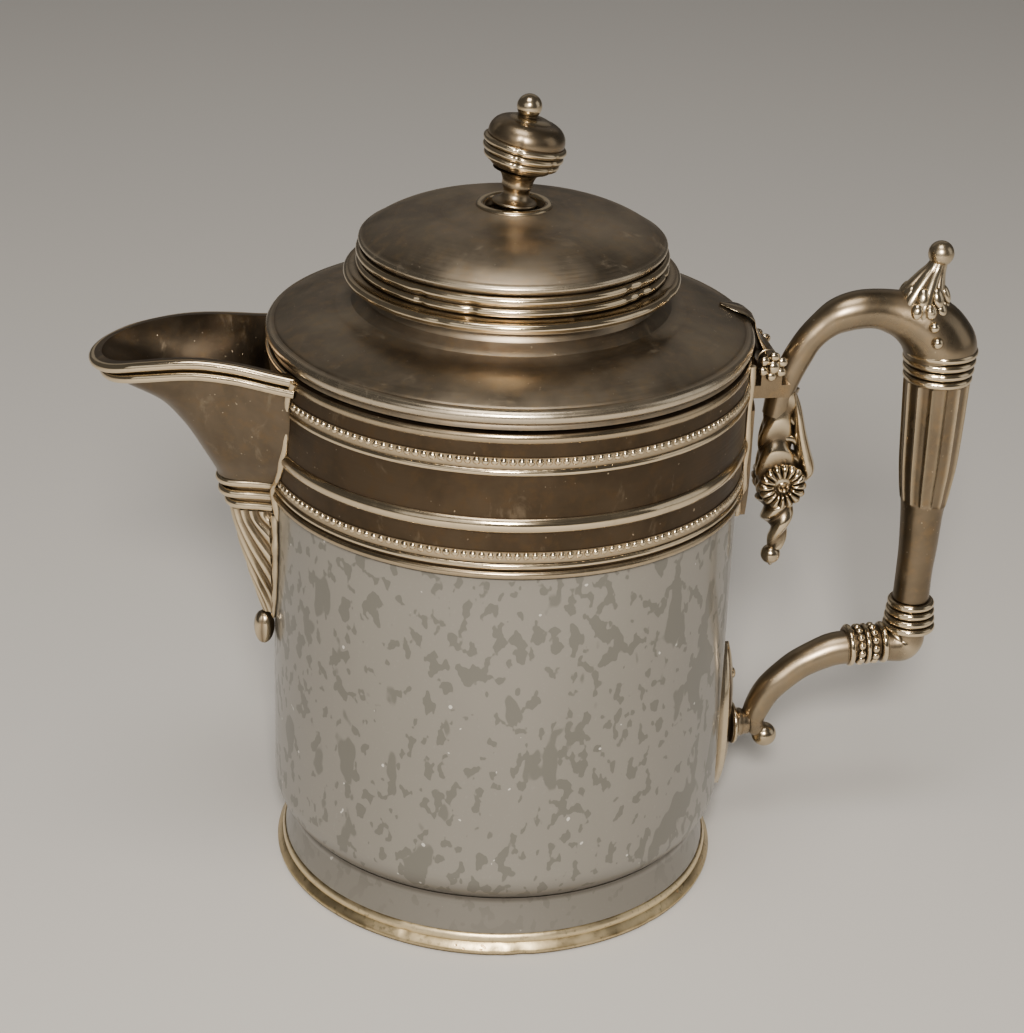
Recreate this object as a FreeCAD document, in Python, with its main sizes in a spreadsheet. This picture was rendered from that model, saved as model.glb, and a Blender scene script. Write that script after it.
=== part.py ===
import FreeCAD, Part
import math
import os
import Sketcher

# Covered cream jug: enamelled body on a flared foot, metal neck band with an open beak spout,
# hinged domed cover with a finial, and a cast scroll handle with a fluted grip.
# Frame: origin on the body axis at the plane the foot rests on, +Z up, spout towards -X,
# handle and cover hinge towards +X. Millimetres.

Vector = FreeCAD.Vector
doc = FreeCAD.newDocument("cream_jug")

# ---------------------------------------------------------------- driving dimensions

DIMENSIONS = [
    # enamelled body and foot
    ("body_radius", 41.6, "outside of the enamelled wall"),
    ("wall", 1.2, "enamelled sheet thickness"),
    ("floor_height", 9.4, "underside of the body's bottom"),
    ("corner_radius", 7.0, "rounding between bottom and wall"),
    ("body_top", 98.0, "top edge of the enamelled wall, inside the band"),
    ("skirt_radius", 38.9, "foot skirt at its top"),
    ("skirt_lip", 40.0, "foot skirt where it enters the foot band"),
    ("foot_radius", 41.3, "widest radius of the foot band"),
    ("foot_band_height", 3.8, "height of the metal foot band"),
    # metal neck band and its mouldings
    ("band_radius", 42.2, "outside of the plain neck band"),
    ("band_bottom", 74.7, "lower edge of the neck band"),
    ("band_top", 101.0, "upper edge of the neck band"),
    ("moulding_radius", 43.0, "crest of the widest mouldings"),
    ("rim_wire_level", 100.1, "height of the small rim wire"),
    ("upper_bead_level", 96.2, "height of the upper beaded wire"),
    ("upper_fillet_level", 94.3, "height of the fillet under the upper beads"),
    ("middle_level", 84.8, "height of the half-round middle moulding"),
    ("lower_bead_level", 79.4, "height of the lower beaded wire"),
    ("lower_fillet_level", 77.5, "height of the fillet under the lower beads"),
    ("lower_roll_level", 75.9, "height of the rolled edge of the band"),
    ("bead_radius", 0.75, "one bead of the beaded wires"),
    # cover
    ("sheet", 0.9, "thickness of the spun cover"),
    ("cover_bottom", 101.7, "lower edge of the cover"),
    ("cover_radius", 42.3, "crest of the cover's rolled rim"),
    ("shoulder_level", 104.6, "where the dome springs from the rolled rim"),
    ("neck_radius", 26.2, "neck between dome and collar"),
    ("neck_level", 113.2, "top of the neck"),
    ("collar_radius", 28.3, "flared collar under the cap"),
    ("collar_level", 114.4, "height of the collar's edge"),
    ("reed_radius", 27.2, "reeded ring under the cap"),
    ("cap_radius", 27.1, "rolled edge of the cap"),
    ("cap_level", 120.0, "height of the cap's rolled edge"),
    ("cap_crown", 125.6, "top of the cap at the finial seat"),
    # finial
    ("seat_radius", 7.1, "raised ring round the finial's foot"),
    ("knob_radius", 7.4, "widest radius of the finial knob"),
    ("knob_level", 136.2, "height of the knob's widest ring"),
    ("tip_radius", 2.15, "ball on top of the finial"),
    ("tip_level", 143.3, "height of that ball"),
    ("finial_lean", 7.0, "lean of the finial towards the handle, degrees"),
    ("stud_radius", 1.4, "stud that holds the finial"),
    # spout
    ("spout_reach", 72.7, "tip of the beak from the axis"),
    ("spout_half_width", 14.4, "half width of the beak where it leaves the band"),
    ("spout_rim_level", 101.3, "rim of the beak at the tip and at the band"),
    ("spout_rim_rise", 2.3, "rise of the rim between its two ends"),
    ("spout_root_level", 77.6, "lower end of the beak"),
    ("spout_root_reach", 51.6, "front of the beak at its lower end"),
    ("spout_sheet", 1.0, "thickness of the beak"),
    ("window_half_width", 9.0, "pouring window in the wall behind the beak"),
    ("window_sill", 81.0, "lower edge of the pouring window"),
    ("window_head", 98.4, "upper edge of the pouring window"),
    # hinge
    ("hinge_reach", 46.4, "hinge pin from the axis"),
    ("hinge_level", 97.0, "hinge pin height"),
    ("pin_radius", 0.9, "hinge pin"),
    ("pin_clearance", 0.06, "radial play of the cover's knuckle on the pin"),
    ("knuckle_radius", 1.9, "outside of the knuckles"),
    ("middle_knuckle", 5.0, "length of the cover's knuckle"),
    ("end_knuckle", 3.2, "length of each knuckle on the body"),
    ("knuckle_gap", 0.25, "side play between knuckles"),
    # handle
    ("grip_reach", 79.3, "axis of the grip from the jug's axis"),
    ("grip_top", 91.2, "upper end of the grip"),
    ("grip_bottom", 46.8, "lower end of the grip"),
    ("grip_top_radius", 6.1, "grip radius at its upper end"),
    ("grip_bottom_radius", 3.5, "grip radius at its lower end"),
    ("ferrule_radius", 6.9, "upper reeded ferrule"),
    ("ferrule_top", 98.0, "upper end of the upper ferrule"),
    ("lower_ferrule_radius", 4.7, "lower reeded ferrule"),
    ("lower_ferrule_bottom", 40.4, "lower end of the lower ferrule"),
    ("arm_radius", 3.15, "tube radius of the handle arms"),
    ("lower_arm_level", 37.4, "height of the lower arm at the elbow"),
    ("rosette_reach", 51.0, "centre of the rosettes from the axis"),
    ("rosette_level", 72.2, "height of the rosettes"),
    ("rosette_radius", 4.4, "rosette radius"),
    ("plate_half_height", 14.2, "half height of the lower escutcheon"),
    ("plate_half_width", 7.6, "half width of the lower escutcheon"),
    ("plate_level", 24.6, "centre height of the lower escutcheon"),
    ("plate_ridge", 45.2, "ridge of the lower escutcheon from the axis"),
]

sheet = doc.addObject("Spreadsheet::Sheet", "sizes")
for row, (alias, value, note) in enumerate(DIMENSIONS, start=1):
    sheet.set("A%d" % row, alias)
    sheet.set("B%d" % row, str(value))
    sheet.setAlias("B%d" % row, alias)
    sheet.set("C%d" % row, note)
doc.recompute()


class Size:
    """A size worked out from the sheet: its number, and the expression that gives it."""

    def __init__(self, value, text):
        self.value = value
        self.text = text

    def _join(self, other, sign, value):
        text = other.text if isinstance(other, Size) else repr(other)
        return Size(value, "(%s %s %s)" % (self.text, sign, text))

    def __add__(self, other):
        return self._join(other, "+", self.value + number(other))

    def __sub__(self, other):
        return self._join(other, "-", self.value - number(other))

    def __mul__(self, other):
        return self._join(other, "*", self.value * number(other))

    def __neg__(self):
        return self * -1


def number(size):
    """The plain number of a Size or of a number."""
    return size.value if isinstance(size, Size) else float(size)


def size(alias):
    """The cell with this alias, as a Size."""
    return Size(float(sheet.get(alias)), "sizes." + alias)


# ---------------------------------------------------------------- helpers

SUB_PARTS = []


def keep(piece, label):
    """Names a finished piece, which also names its file."""
    piece.Label = label
    SUB_PARTS.append(piece)
    return piece


def bind(piece, **sizes):
    """Ties properties of a piece to the sheet."""
    for name, wanted in sizes.items():
        if isinstance(wanted, Size):
            piece.setExpression(name, wanted.text)
        else:
            setattr(piece, name, wanted)
    return piece


def place(piece, x=0.0, y=0.0, z=0.0, axis=(0, 0, 1), angle=0.0):
    """Sets a piece's Placement and ties its position to the sheet."""
    base = Vector(number(x), number(y), number(z))
    piece.Placement = FreeCAD.Placement(base, FreeCAD.Rotation(Vector(*axis), number(angle)))
    for name, wanted in (("x", x), ("y", y), ("z", z)):
        if isinstance(wanted, Size):
            piece.setExpression("Placement.Base." + name, wanted.text)
    return piece


def origin_plane(body, role):
    """One of a body's own origin planes."""
    return next(plane for plane in body.Origin.OriginFeatures if plane.Role == role)


def new_sketch(body, name, role):
    """An empty sketch on one of the body's origin planes."""
    sketch = body.newObject("Sketcher::SketchObject", name)
    sketch.AttachmentSupport = [(origin_plane(body, role), "")]
    sketch.MapMode = "FlatFace"
    return sketch


def minor_arc(start, end, radius, side):
    """The minor arc between two corners, centre on the left (1) or right (-1) of start to end."""
    chord = end - start
    height = math.sqrt(radius * radius - chord.Length * chord.Length / 4.0)
    normal = Vector(-chord.y, chord.x, 0).normalize()
    centre = (start + end) * 0.5 + normal * (height * side)
    first, last = (start, end) if side > 0 else (end, start)
    begin = math.atan2(first.y - centre.y, first.x - centre.x)
    finish = math.atan2(last.y - centre.y, last.x - centre.x)
    if finish < begin:
        finish += 2.0 * math.pi
    return Part.ArcOfCircle(Part.Circle(centre, Vector(0, 0, 1), radius), begin, finish)


def draw_outline(sketch, outline):
    """A closed outline of (across, up) or (across, up, arc radius, side) corners.

    The arc fields describe the stretch from that corner to the next, and every corner and arc
    radius is a constraint tied to the sheet.
    """
    corners = [Vector(number(point[0]), number(point[1]), 0) for point in outline]
    ends = []
    for index, point in enumerate(outline):
        start = corners[index]
        end = corners[(index + 1) % len(corners)]
        if len(point) == 4:
            sketch.addGeometry(minor_arc(start, end, number(point[2]), point[3]), False)
            ends.append((1, 2) if point[3] > 0 else (2, 1))
        else:
            sketch.addGeometry(Part.LineSegment(start, end), False)
            ends.append((1, 2))
    for index, point in enumerate(outline):
        following = (index + 1) % len(outline)
        joint = (index, ends[index][1], following, ends[following][0])
        sketch.addConstraint(Sketcher.Constraint("Coincident", *joint))
        tie_corner(sketch, index, ends[index][0], point)
        if len(point) == 4:
            radius = Sketcher.Constraint("Radius", index, number(point[2]))
            tie(sketch, sketch.addConstraint(radius), point[2])


def tie(sketch, index, wanted):
    """Ties one constraint to the sheet."""
    if isinstance(wanted, Size):
        sketch.setExpression("Constraints[%d]" % index, wanted.text)


def tie_corner(sketch, curve, vertex, point):
    """Fixes a corner at its two distances from the sketch's origin."""
    for kind, axis, wanted in (("DistanceX", -2, point[0]), ("DistanceY", -1, point[1])):
        if number(wanted) == 0.0:
            sketch.addConstraint(Sketcher.Constraint("PointOnObject", curve, vertex, axis))
        else:
            constraint = Sketcher.Constraint(kind, -1, 1, curve, vertex, number(wanted))
            tie(sketch, sketch.addConstraint(constraint), wanted)


def turned(name, outline):
    """A body of revolution about +Z from a closed (radius, height) outline."""
    body = doc.addObject("PartDesign::Body", name)
    sketch = new_sketch(body, name + "_profile", "XZ_Plane")
    draw_outline(sketch, outline)
    feature = body.newObject("PartDesign::Revolution", name + "_turning")
    feature.Profile = (sketch, [""])
    feature.ReferenceAxis = (sketch, ["V_Axis"])
    feature.Angle = 360.0
    return body


def half_round_ring(name, seat, level, half_height, crest):
    """A wire with a flat back: radius seat at the back, crest at the front."""
    rise = number(crest) - number(seat)
    radius = (rise * rise + half_height * half_height) / (2.0 * rise)
    low = level - half_height
    high = level + half_height
    return turned(name, [(seat, low, radius, 1), (seat, high)])


def reed_stack(first, last, count, root, crest):
    """Corners of a stack of half-round reeds from height first up to height last."""
    pitch = (number(last) - number(first)) / count
    rise = number(crest) - number(root)
    radius = (rise * rise + pitch * pitch / 4.0) / (2.0 * rise)
    return [(root, first + pitch * index, radius, 1) for index in range(count)]


def cylinder(name, radius, height):
    return bind(doc.addObject("Part::Cylinder", name), Radius=radius, Height=height)


def box(name, length, width, height):
    return bind(doc.addObject("Part::Box", name), Length=length, Width=width, Height=height)


def ball(name, radius, x, y, z):
    return place(bind(doc.addObject("Part::Sphere", name), Radius=radius), x, y, z)


def ellipsoid(name, half_height, half_width, x, y, z):
    piece = doc.addObject("Part::Ellipsoid", name)
    bind(piece, Radius1=half_height, Radius2=half_width, Radius3=half_width)
    return place(piece, x, y, z)


def cut(name, base, tool):
    piece = doc.addObject("Part::Cut", name)
    piece.Base = base
    piece.Tool = tool
    return piece


def fuse(name, pieces):
    piece = doc.addObject("Part::MultiFuse", name)
    piece.Shapes = pieces
    return piece


def common(name, first, second):
    piece = doc.addObject("Part::Common", name)
    piece.Base = first
    piece.Tool = second
    return piece


def shaped(name, shape):
    """A piece whose shape comes from Part's own functions, at the sheet's sizes."""
    piece = doc.addObject("Part::Feature", name)
    piece.Shape = shape
    return piece


def circle_wire(centre, direction, radius):
    return Part.Wire([Part.makeCircle(radius, centre, direction)])


def tapered_tube(name, stations):
    """A solid round arm through (x, z, radius, direction in degrees from +X) stations."""
    wires = []
    for x, z, radius, heading in stations:
        turn = math.radians(heading)
        direction = Vector(math.cos(turn), 0, math.sin(turn))
        wires.append(circle_wire(Vector(x, 0, z), direction, radius))
    return shaped(name, Part.makeLoft(wires, True, False))


# ---------------------------------------------------------------- body and foot

body_radius = size("body_radius")
wall = size("wall")
floor_height = size("floor_height")
corner = size("corner_radius")
body_top = size("body_top")
band_radius = size("band_radius")
band_bottom = size("band_bottom")
band_top = size("band_top")

# The enamelled wall steps in by this much where the neck band is slipped over it.
BAND_SEAT = 0.3
band_seat = body_radius - BAND_SEAT


def pouring_window():
    """Arched opening through wall and band behind the beak, as one cutting tool."""
    half_width = size("window_half_width")
    sill = size("window_sill")
    head = size("window_head")
    spring = head - half_width
    depth = 8.0
    slab = box("window_slab", depth, half_width * 2, spring - sill)
    place(slab, -band_radius - 2.0, -half_width, sill)
    arch = cylinder("window_arch", half_width, depth)
    place(arch, -band_radius - 2.0, 0.0, spring, (0, 1, 0), 90.0)
    return fuse("window_tool", [slab, arch])


window = pouring_window()

enamel_shell = turned("enamel_shell", [
    (0, floor_height),
    (body_radius - corner, floor_height, corner, 1),
    (body_radius, floor_height + corner),
    (body_radius, band_bottom),
    (band_seat, band_bottom + 0.3),
    (band_seat, body_top),
    (body_radius - wall, body_top),
    (body_radius - wall, floor_height + corner, corner - wall, -1),
    (body_radius - corner, floor_height + wall),
    (0, floor_height + wall),
])
keep(cut("enamel_body_cut", enamel_shell, window), "enamel_body")

skirt_radius = size("skirt_radius")
skirt_lip = size("skirt_lip")
foot_radius = size("foot_radius")
foot_band_height = size("foot_band_height")
SKIRT_SHEET = 1.1
SKIRT_RISE = 1.3
skirt_top = floor_height + SKIRT_RISE
keep(turned("foot_skirt_body", [
    (skirt_lip - SKIRT_SHEET, foot_band_height * 0.25),
    (skirt_lip - 0.25, foot_band_height * 0.25),
    (skirt_lip - 0.25, foot_band_height),
    (skirt_radius, skirt_top - 1.6),
    (skirt_radius, skirt_top),
    (skirt_radius - SKIRT_SHEET, skirt_top - 0.55),
]), "foot_skirt")

keep(turned("foot_band_body", [
    (skirt_lip - 0.25, 0),
    (foot_radius - 0.3, 0, 0.45, 1),
    (foot_radius - 0.3, 0.85),
    (skirt_lip + 0.25, foot_band_height * 0.55),
    (skirt_lip + 0.25, foot_band_height),
    (skirt_lip - 0.25, foot_band_height),
]), "foot_band")

# ---------------------------------------------------------------- neck band and mouldings

band_sleeve = turned("band_sleeve", [
    (band_seat, band_bottom + 0.4),
    (band_radius, band_bottom + 0.4),
    (band_radius, band_top),
    (band_seat - 0.4, band_top),
    (band_seat - 0.4, body_top),
    (band_seat, body_top),
])
keep(cut("neck_band_cut", band_sleeve, window), "neck_band")

moulding_radius = size("moulding_radius")
bead = size("bead_radius")
# Each moulding stops against the beak, at its own half width, and against the handle's plate.
# (name, height, half height, crest, half width of the gap at the beak)
MOULDINGS = [
    ("rim_wire", size("rim_wire_level"), 0.8, band_radius + 0.3, 16.4),
    ("upper_bead_ring", size("upper_bead_level"), number(bead), moulding_radius, 15.4),
    ("upper_fillet", size("upper_fillet_level"), 0.65, band_radius + 0.55, 15.0),
    ("middle_moulding", size("middle_level"), 1.35, moulding_radius, 12.6),
    ("lower_bead_ring", size("lower_bead_level"), number(bead), moulding_radius, 9.4),
    ("lower_fillet", size("lower_fillet_level"), 0.55, band_radius + 0.5, 6.8),
    ("lower_roll", size("lower_roll_level"), 0.75, band_radius + 0.6, 6.6),
]
PLATE_SEAM = 11.8
SEAM_DEPTH = 26.0


def seam_block(name, half_width, centre_x):
    """Block that parts a moulding where a fitting covers the band."""
    block = box(name, SEAM_DEPTH, 2.0 * half_width, band_top - band_bottom + 4.0)
    return place(block, centre_x - SEAM_DEPTH / 2.0, -half_width, band_bottom - 2.0)


plate_seam = seam_block("plate_seam", PLATE_SEAM, 50.0)
for name, level, half_height, crest, gap in MOULDINGS:
    ring = half_round_ring(name + "_ring", band_radius, level, half_height, crest)
    seams = fuse(name + "_seams", [seam_block(name + "_beak_seam", gap, -50.0), plate_seam])
    keep(cut(name + "_cut", ring, seams), name)

# ---------------------------------------------------------------- spout

spout_reach = size("spout_reach")
spout_width = size("spout_half_width")
rim_level = size("spout_rim_level")
rim_rise = size("spout_rim_rise")
root_level = size("spout_root_level")
root_reach = size("spout_root_reach")
BACK_REACH = 38.0


def plan_width(along):
    """Share of the half width left at a share of the way from the band to the nose."""
    flare = 0.68 + 0.32 * (1.0 - along) ** 2.2
    return flare * math.sqrt(max(1.0 - along ** 6, 0.0))


def spout_section(level, reach, half_width):
    """Closed plan outline of the beak at one height, open side towards the axis."""
    shares = [0.0, 0.12, 0.28, 0.45, 0.62, 0.76, 0.87, 0.94, 0.985]
    inner = 42.0
    side = [Vector(-BACK_REACH, half_width * 1.04, level)]
    side += [Vector(-inner - (reach - inner) * a, half_width * plan_width(a), level) for a in shares]
    nose = Vector(-reach, 0, level)
    mirror = [Vector(point.x, -point.y, level) for point in reversed(side)]
    curve = Part.BSplineCurve()
    curve.interpolate(side + [nose] + mirror)
    back = Part.LineSegment(mirror[-1], side[0])
    return Part.Wire([curve.toShape(), back.toShape()])


# (height above the root, reach beyond the root's, share of the full half width)
SPOUT_STATIONS = [
    (-0.4, -0.2, 0.40),
    (3.0, 0.9, 0.62),
    (6.4, 2.8, 0.78),
    (10.0, 4.9, 0.87),
    (13.6, 7.6, 0.92),
    (17.0, 11.4, 0.95),
    (19.6, 16.4, 0.98),
    (22.2, 20.0, 1.0),
    (27.4, 21.3, 1.03),
]


def beak(grow):
    """The beak's outer form, grown or shrunk all round by grow."""
    wires = []
    for height, reach, share in SPOUT_STATIONS:
        level = number(root_level) + height
        front = number(root_reach) + reach + grow
        wires.append(spout_section(level, front, number(spout_width) * share + grow))
    return Part.makeLoft(wires, True, False)


def rim_curve(drop):
    """The rim in side view, arched between band and tip, lowered by drop."""
    low = number(rim_level) - drop
    crest = low + number(rim_rise)
    points = [
        Vector(-36.0, 0, low),
        Vector(-42.0, 0, low + 0.6),
        Vector(-49.0, 0, crest - 0.5),
        Vector(-56.0, 0, crest),
        Vector(-64.0, 0, crest - 0.8),
        Vector(-70.0, 0, low + 0.2),
        Vector(-76.0, 0, low - 1.0),
    ]
    curve = Part.BSplineCurve()
    curve.interpolate(points)
    return curve, points[0], points[-1]


def above_rim(drop):
    """Everything over the rim line, to be cut away."""
    curve, first, last = rim_curve(drop)
    ceiling = 130.0
    top = [last, Vector(last.x, 0, ceiling), Vector(first.x, 0, ceiling), first]
    outline = Part.Wire([curve.toShape()] + Part.makePolygon(top).Edges)
    half_span = 30.0
    outline.translate(Vector(0, -half_span, 0))
    return Part.Face(outline).extrude(Vector(0, 2 * half_span, 0))


def band_core(radius):
    """The round space inside the band, to be kept clear of the fittings."""
    return Part.makeCylinder(radius, 140.0)


BAND_FACE = number(band_radius)
spout_sheet = number(size("spout_sheet"))
hollow = beak(-spout_sheet)
hollow.translate(Vector(0, 0, 1.4))
# The beak ends on the upper face of the knop's first reed.
KNOP_TOP = 78.25
foot_block = Part.makeBox(60.0, 60.0, KNOP_TOP, Vector(-90.0, -30.0, 0))
shell = beak(0.0).cut(hollow).cut(above_rim(0.0)).cut(band_core(BAND_FACE)).cut(foot_block)
keep(shaped("spout_form", shell), "spout_shell")

REED_STRIP = 3.7
STRIP_PROUD = 0.7
strip = beak(STRIP_PROUD).cut(beak(0.0)).cut(above_rim(0.0)).common(above_rim(REED_STRIP))
keep(shaped("spout_strip", strip.cut(band_core(BAND_FACE))), "spout_rim_reeds")

# Three reeds under the beak: (height, front reach, half width).
KNOP_REEDS = [(77.2, 51.9, 5.9), (75.0, 51.6, 5.7), (72.8, 50.4, 5.5)]
REED_HALF = 1.05


def knop_reed(level, reach, half_width):
    """One reed round the foot of the beak, thickest at its middle height."""
    slim = 0.7
    sections = [
        spout_section(level - REED_HALF, reach - slim, half_width - slim),
        spout_section(level, reach, half_width),
        spout_section(level + REED_HALF, reach - slim, half_width - slim),
    ]
    return Part.makeLoft(sections, True, False)


knop = knop_reed(*KNOP_REEDS[0])
for station in KNOP_REEDS[1:]:
    knop = knop.fuse(knop_reed(*station))
keep(shaped("knop_form", knop.cut(band_core(BAND_FACE))), "spout_knop")

# Fluted drop under the knop: (height, front reach, half width), down to the bud.
DROP_STATIONS = [
    (71.75, 49.5, 5.0),
    (68.0, 48.8, 5.0),
    (62.5, 47.4, 4.6),
    (56.5, 45.7, 3.5),
    (50.6, 43.9, 1.9),
]
drop = Part.makeLoft([spout_section(*station) for station in DROP_STATIONS], True, False)
upper_clear = Part.makeCylinder(BAND_FACE, 40.0, Vector(0, 0, number(band_bottom)))
drop = drop.cut(band_core(number(body_radius))).cut(upper_clear)
keep(shaped("drop_form", drop), "spout_drop")

BUD_REACH = 43.55
keep(ellipsoid("bud_form", 3.5, 1.85, -BUD_REACH, 0.0, 47.2), "spout_bud")

# ---------------------------------------------------------------- cover

cover_bottom = size("cover_bottom")
cover_radius = size("cover_radius")
shoulder = size("shoulder_level")
neck_radius = size("neck_radius")
neck_level = size("neck_level")
skin = size("sheet")
DOME_ARC = 21.5
NECK_ARC = 4.0
neck_foot = neck_level - 2.6
dome_start = neck_radius + 3.2
cover_shoulder = keep(turned("cover_shoulder_body", [
    (cover_radius - 1.6, cover_bottom),
    (cover_radius - 0.3, cover_bottom, 1.5, 1),
    (cover_radius - 0.3, shoulder - 0.2, DOME_ARC, 1),
    (dome_start, neck_foot, NECK_ARC, -1),
    (neck_radius, neck_level),
    (neck_radius - skin, neck_level),
    (neck_radius - skin, neck_foot + 0.3, NECK_ARC + 0.9, 1),
    (dome_start - 0.3, neck_foot - skin, DOME_ARC - 0.9, -1),
    (cover_radius - 1.6, shoulder - 0.9),
]), "cover_shoulder")

collar_radius = size("collar_radius")
collar_level = size("collar_level")
keep(turned("cover_collar_body", [
    (neck_radius - skin, neck_level),
    (neck_radius, neck_level),
    (neck_radius + 0.35, neck_level + 0.35),
    (collar_radius, collar_level - 0.25, 0.3, 1),
    (collar_radius - 0.1, collar_level + 0.25),
    (neck_radius + 0.4, collar_level + 0.6),
    (neck_radius - skin, collar_level + 0.6),
]), "cover_collar")

reed_radius = size("reed_radius")
cap_radius = size("cap_radius")
cap_level = size("cap_level")
cap_crown = size("cap_crown")
seat_radius = size("seat_radius")
seat_edge = seat_radius - 0.4
ring_foot = collar_level + 0.6
ring_head = cap_level - 1.3
ring_root = reed_radius - 0.8
keep(turned("cap_reeds_body", reed_stack(ring_foot, ring_head, 2, ring_root, reed_radius) + [
    (ring_root, ring_head),
    (neck_radius - skin, ring_head),
    (neck_radius - skin, ring_foot),
]), "cap_reed_ring")

stud_radius = size("stud_radius")
STUD_HOLE = 0.75
CAP_ARC = 38.0
keep(turned("cover_cap_body", [
    (neck_radius - skin, ring_head),
    (cap_radius - 0.7, ring_head, 0.95, 1),
    (cap_radius - 0.7, cap_level + 0.5, CAP_ARC, 1),
    (seat_edge, cap_crown),
    (stud_radius + STUD_HOLE, cap_crown),
    (stud_radius + STUD_HOLE, cap_crown - skin),
    (seat_edge, cap_crown - skin, CAP_ARC - 0.9, -1),
    (neck_radius - skin, cap_level - 0.6),
]), "cover_cap")

keep(turned("finial_seat_body", [
    (seat_radius - 2.6, cap_crown),
    (seat_edge, cap_crown),
    (seat_radius, cap_crown + 0.35, 0.6, 1),
    (seat_radius - 0.9, cap_crown + 0.55),
    (seat_radius - 2.6, cap_crown + 0.1),
]), "finial_seat")

# ---------------------------------------------------------------- finial

finial_lean = size("finial_lean")
knob_radius = size("knob_radius")
knob_level = size("knob_level")
tip_radius = size("tip_radius")
tip_level = size("tip_level")
LEAN = number(finial_lean)
FOOT_LIFT = 0.75


def lean(piece, height=0.0):
    """Tilts a piece of the finial, drawn about its own foot, towards the handle."""
    tilt = math.radians(LEAN)
    x = height * math.sin(tilt)
    z = height * math.cos(tilt)
    return place(piece, x, 0.0, cap_crown + FOOT_LIFT + z, (0, 1, 0), LEAN)


# Heights in the finial are counted from its foot.
knob_mid = knob_level - cap_crown - FOOT_LIFT
knob_low = knob_mid - 5.0
knob_top = knob_mid + 5.6
STEM = 2.8
finial = lean(turned("finial_body", [
    (0, 0.0),
    (4.4, 0.0, 3.4, -1),
    (STEM, 3.2),
    (STEM, knob_low - 0.6),
    (STEM + 1.0, knob_low),
] + reed_stack(knob_low + 0.35, knob_mid + 0.85, 3, knob_radius - 0.7, knob_radius) + [
    (knob_radius - 0.7, knob_mid + 0.85, 8.4, 1),
    (1.2, knob_top),
    (0, knob_top),
]))
tip_height = tip_level - cap_crown - FOOT_LIFT
finial_tip = lean(ball("finial_tip_ball", tip_radius, 0.0, 0.0, 0.0), number(tip_height))
keep(cut("finial_knob_cut", finial, finial_tip), "finial_knob")
keep(finial_tip, "finial_tip")

STUD_LENGTH = 5.2
finial_stud = cylinder("finial_stud_rod", stud_radius, STUD_LENGTH)
keep(lean(finial_stud, -STUD_LENGTH), "finial_stud")

NUT_ACROSS = 5.5
NUT_THICK = 2.0
NUT_DROP = 4.55


def nut_body():
    """Hexagon nut that holds the finial inside the cap."""
    nut = doc.addObject("Part::Prism", "nut_blank")
    bind(nut, Circumradius=NUT_ACROSS / math.sqrt(3.0), Height=NUT_THICK)
    nut.Polygon = 6
    hole = cylinder("nut_hole", stud_radius, NUT_THICK)
    return cut("finial_nut_cut", nut, hole)


keep(lean(nut_body(), -NUT_DROP), "finial_nut")

# ---------------------------------------------------------------- hinge

hinge_reach = size("hinge_reach")
hinge_level = size("hinge_level")
pin_radius = size("pin_radius")
play = size("pin_clearance")
knuckle_radius = size("knuckle_radius")
middle_length = size("middle_knuckle")
end_length = size("end_knuckle")
knuckle_gap = size("knuckle_gap")
pin_half = middle_length * 0.5 + knuckle_gap + end_length


def along_hinge(name, radius, start, length):
    """A cylinder on the hinge axis from one Y to another."""
    piece = cylinder(name, radius, length)
    return place(piece, hinge_reach, start + length, hinge_level, (1, 0, 0), 90.0)


keep(along_hinge("pin_rod", pin_radius, -pin_half - 0.3, pin_half * 2 + 0.6), "hinge_pin")

end_start = middle_length * 0.5 + knuckle_gap
LUG_DEPTH = 6.0
lugs = []
for side, start in (("near", -end_start - end_length), ("far", end_start)):
    barrel = along_hinge("%s_barrel" % side, knuckle_radius, start, end_length)
    web = box("%s_web" % side, knuckle_radius * 2, end_length, LUG_DEPTH)
    place(web, hinge_reach - knuckle_radius, start, hinge_level - LUG_DEPTH)
    lugs += [barrel, web]
SADDLE_THICK = 2.4
SADDLE_REACH = 1.6
saddle_length = hinge_reach + knuckle_radius + SADDLE_REACH - band_radius + 1.5
saddle = box("hinge_saddle", saddle_length, pin_half * 2, SADDLE_THICK)
place(saddle, band_radius - 1.5, -pin_half, hinge_level - LUG_DEPTH)
bore = along_hinge("bracket_bore", pin_radius, -pin_half - 1.0, pin_half * 2 + 2.0)
# Strap on the cover: the middle knuckle and a leaf that lies on the dome.


def strap_outline():
    """Side view of the strap from the knuckle up over the rolled rim to the dome."""
    pin_x = number(hinge_reach)
    pin_z = number(hinge_level)
    rim = number(cover_radius)
    inner = [(rim + 0.15, pin_z + 1.4), (rim + 0.15, 103.6), (rim - 1.3, 105.6), (rim - 5.0, 108.2)]
    outer = [(rim - 5.0, 109.0), (rim - 1.0, 107.2), (rim + 1.6, 103.6), (pin_x + 0.9, pin_z + 1.6)]
    points = [Vector(x, 0, z) for x, z in inner + outer]
    return Part.makePolygon(points + [points[0]])


def strap_shape():
    half = number(middle_length) / 2.0
    blade = Part.Face(strap_outline()).extrude(Vector(0, 2 * half, 0))
    blade.translate(Vector(0, -half, 0))
    base = Vector(number(hinge_reach), -half, number(hinge_level))
    barrel = Part.makeCylinder(number(knuckle_radius), 2 * half, base, Vector(0, 1, 0))
    hole_radius = number(pin_radius) + number(play)
    hole = Part.makeCylinder(hole_radius, 2 * half + 2, base - Vector(0, 1, 0), Vector(0, 1, 0))
    return blade.fuse(barrel).cut(hole)


keep(cut("strap_cut", shaped("strap_form", strap_shape()), cover_shoulder), "hinge_strap")

# ---------------------------------------------------------------- upper handle

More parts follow.
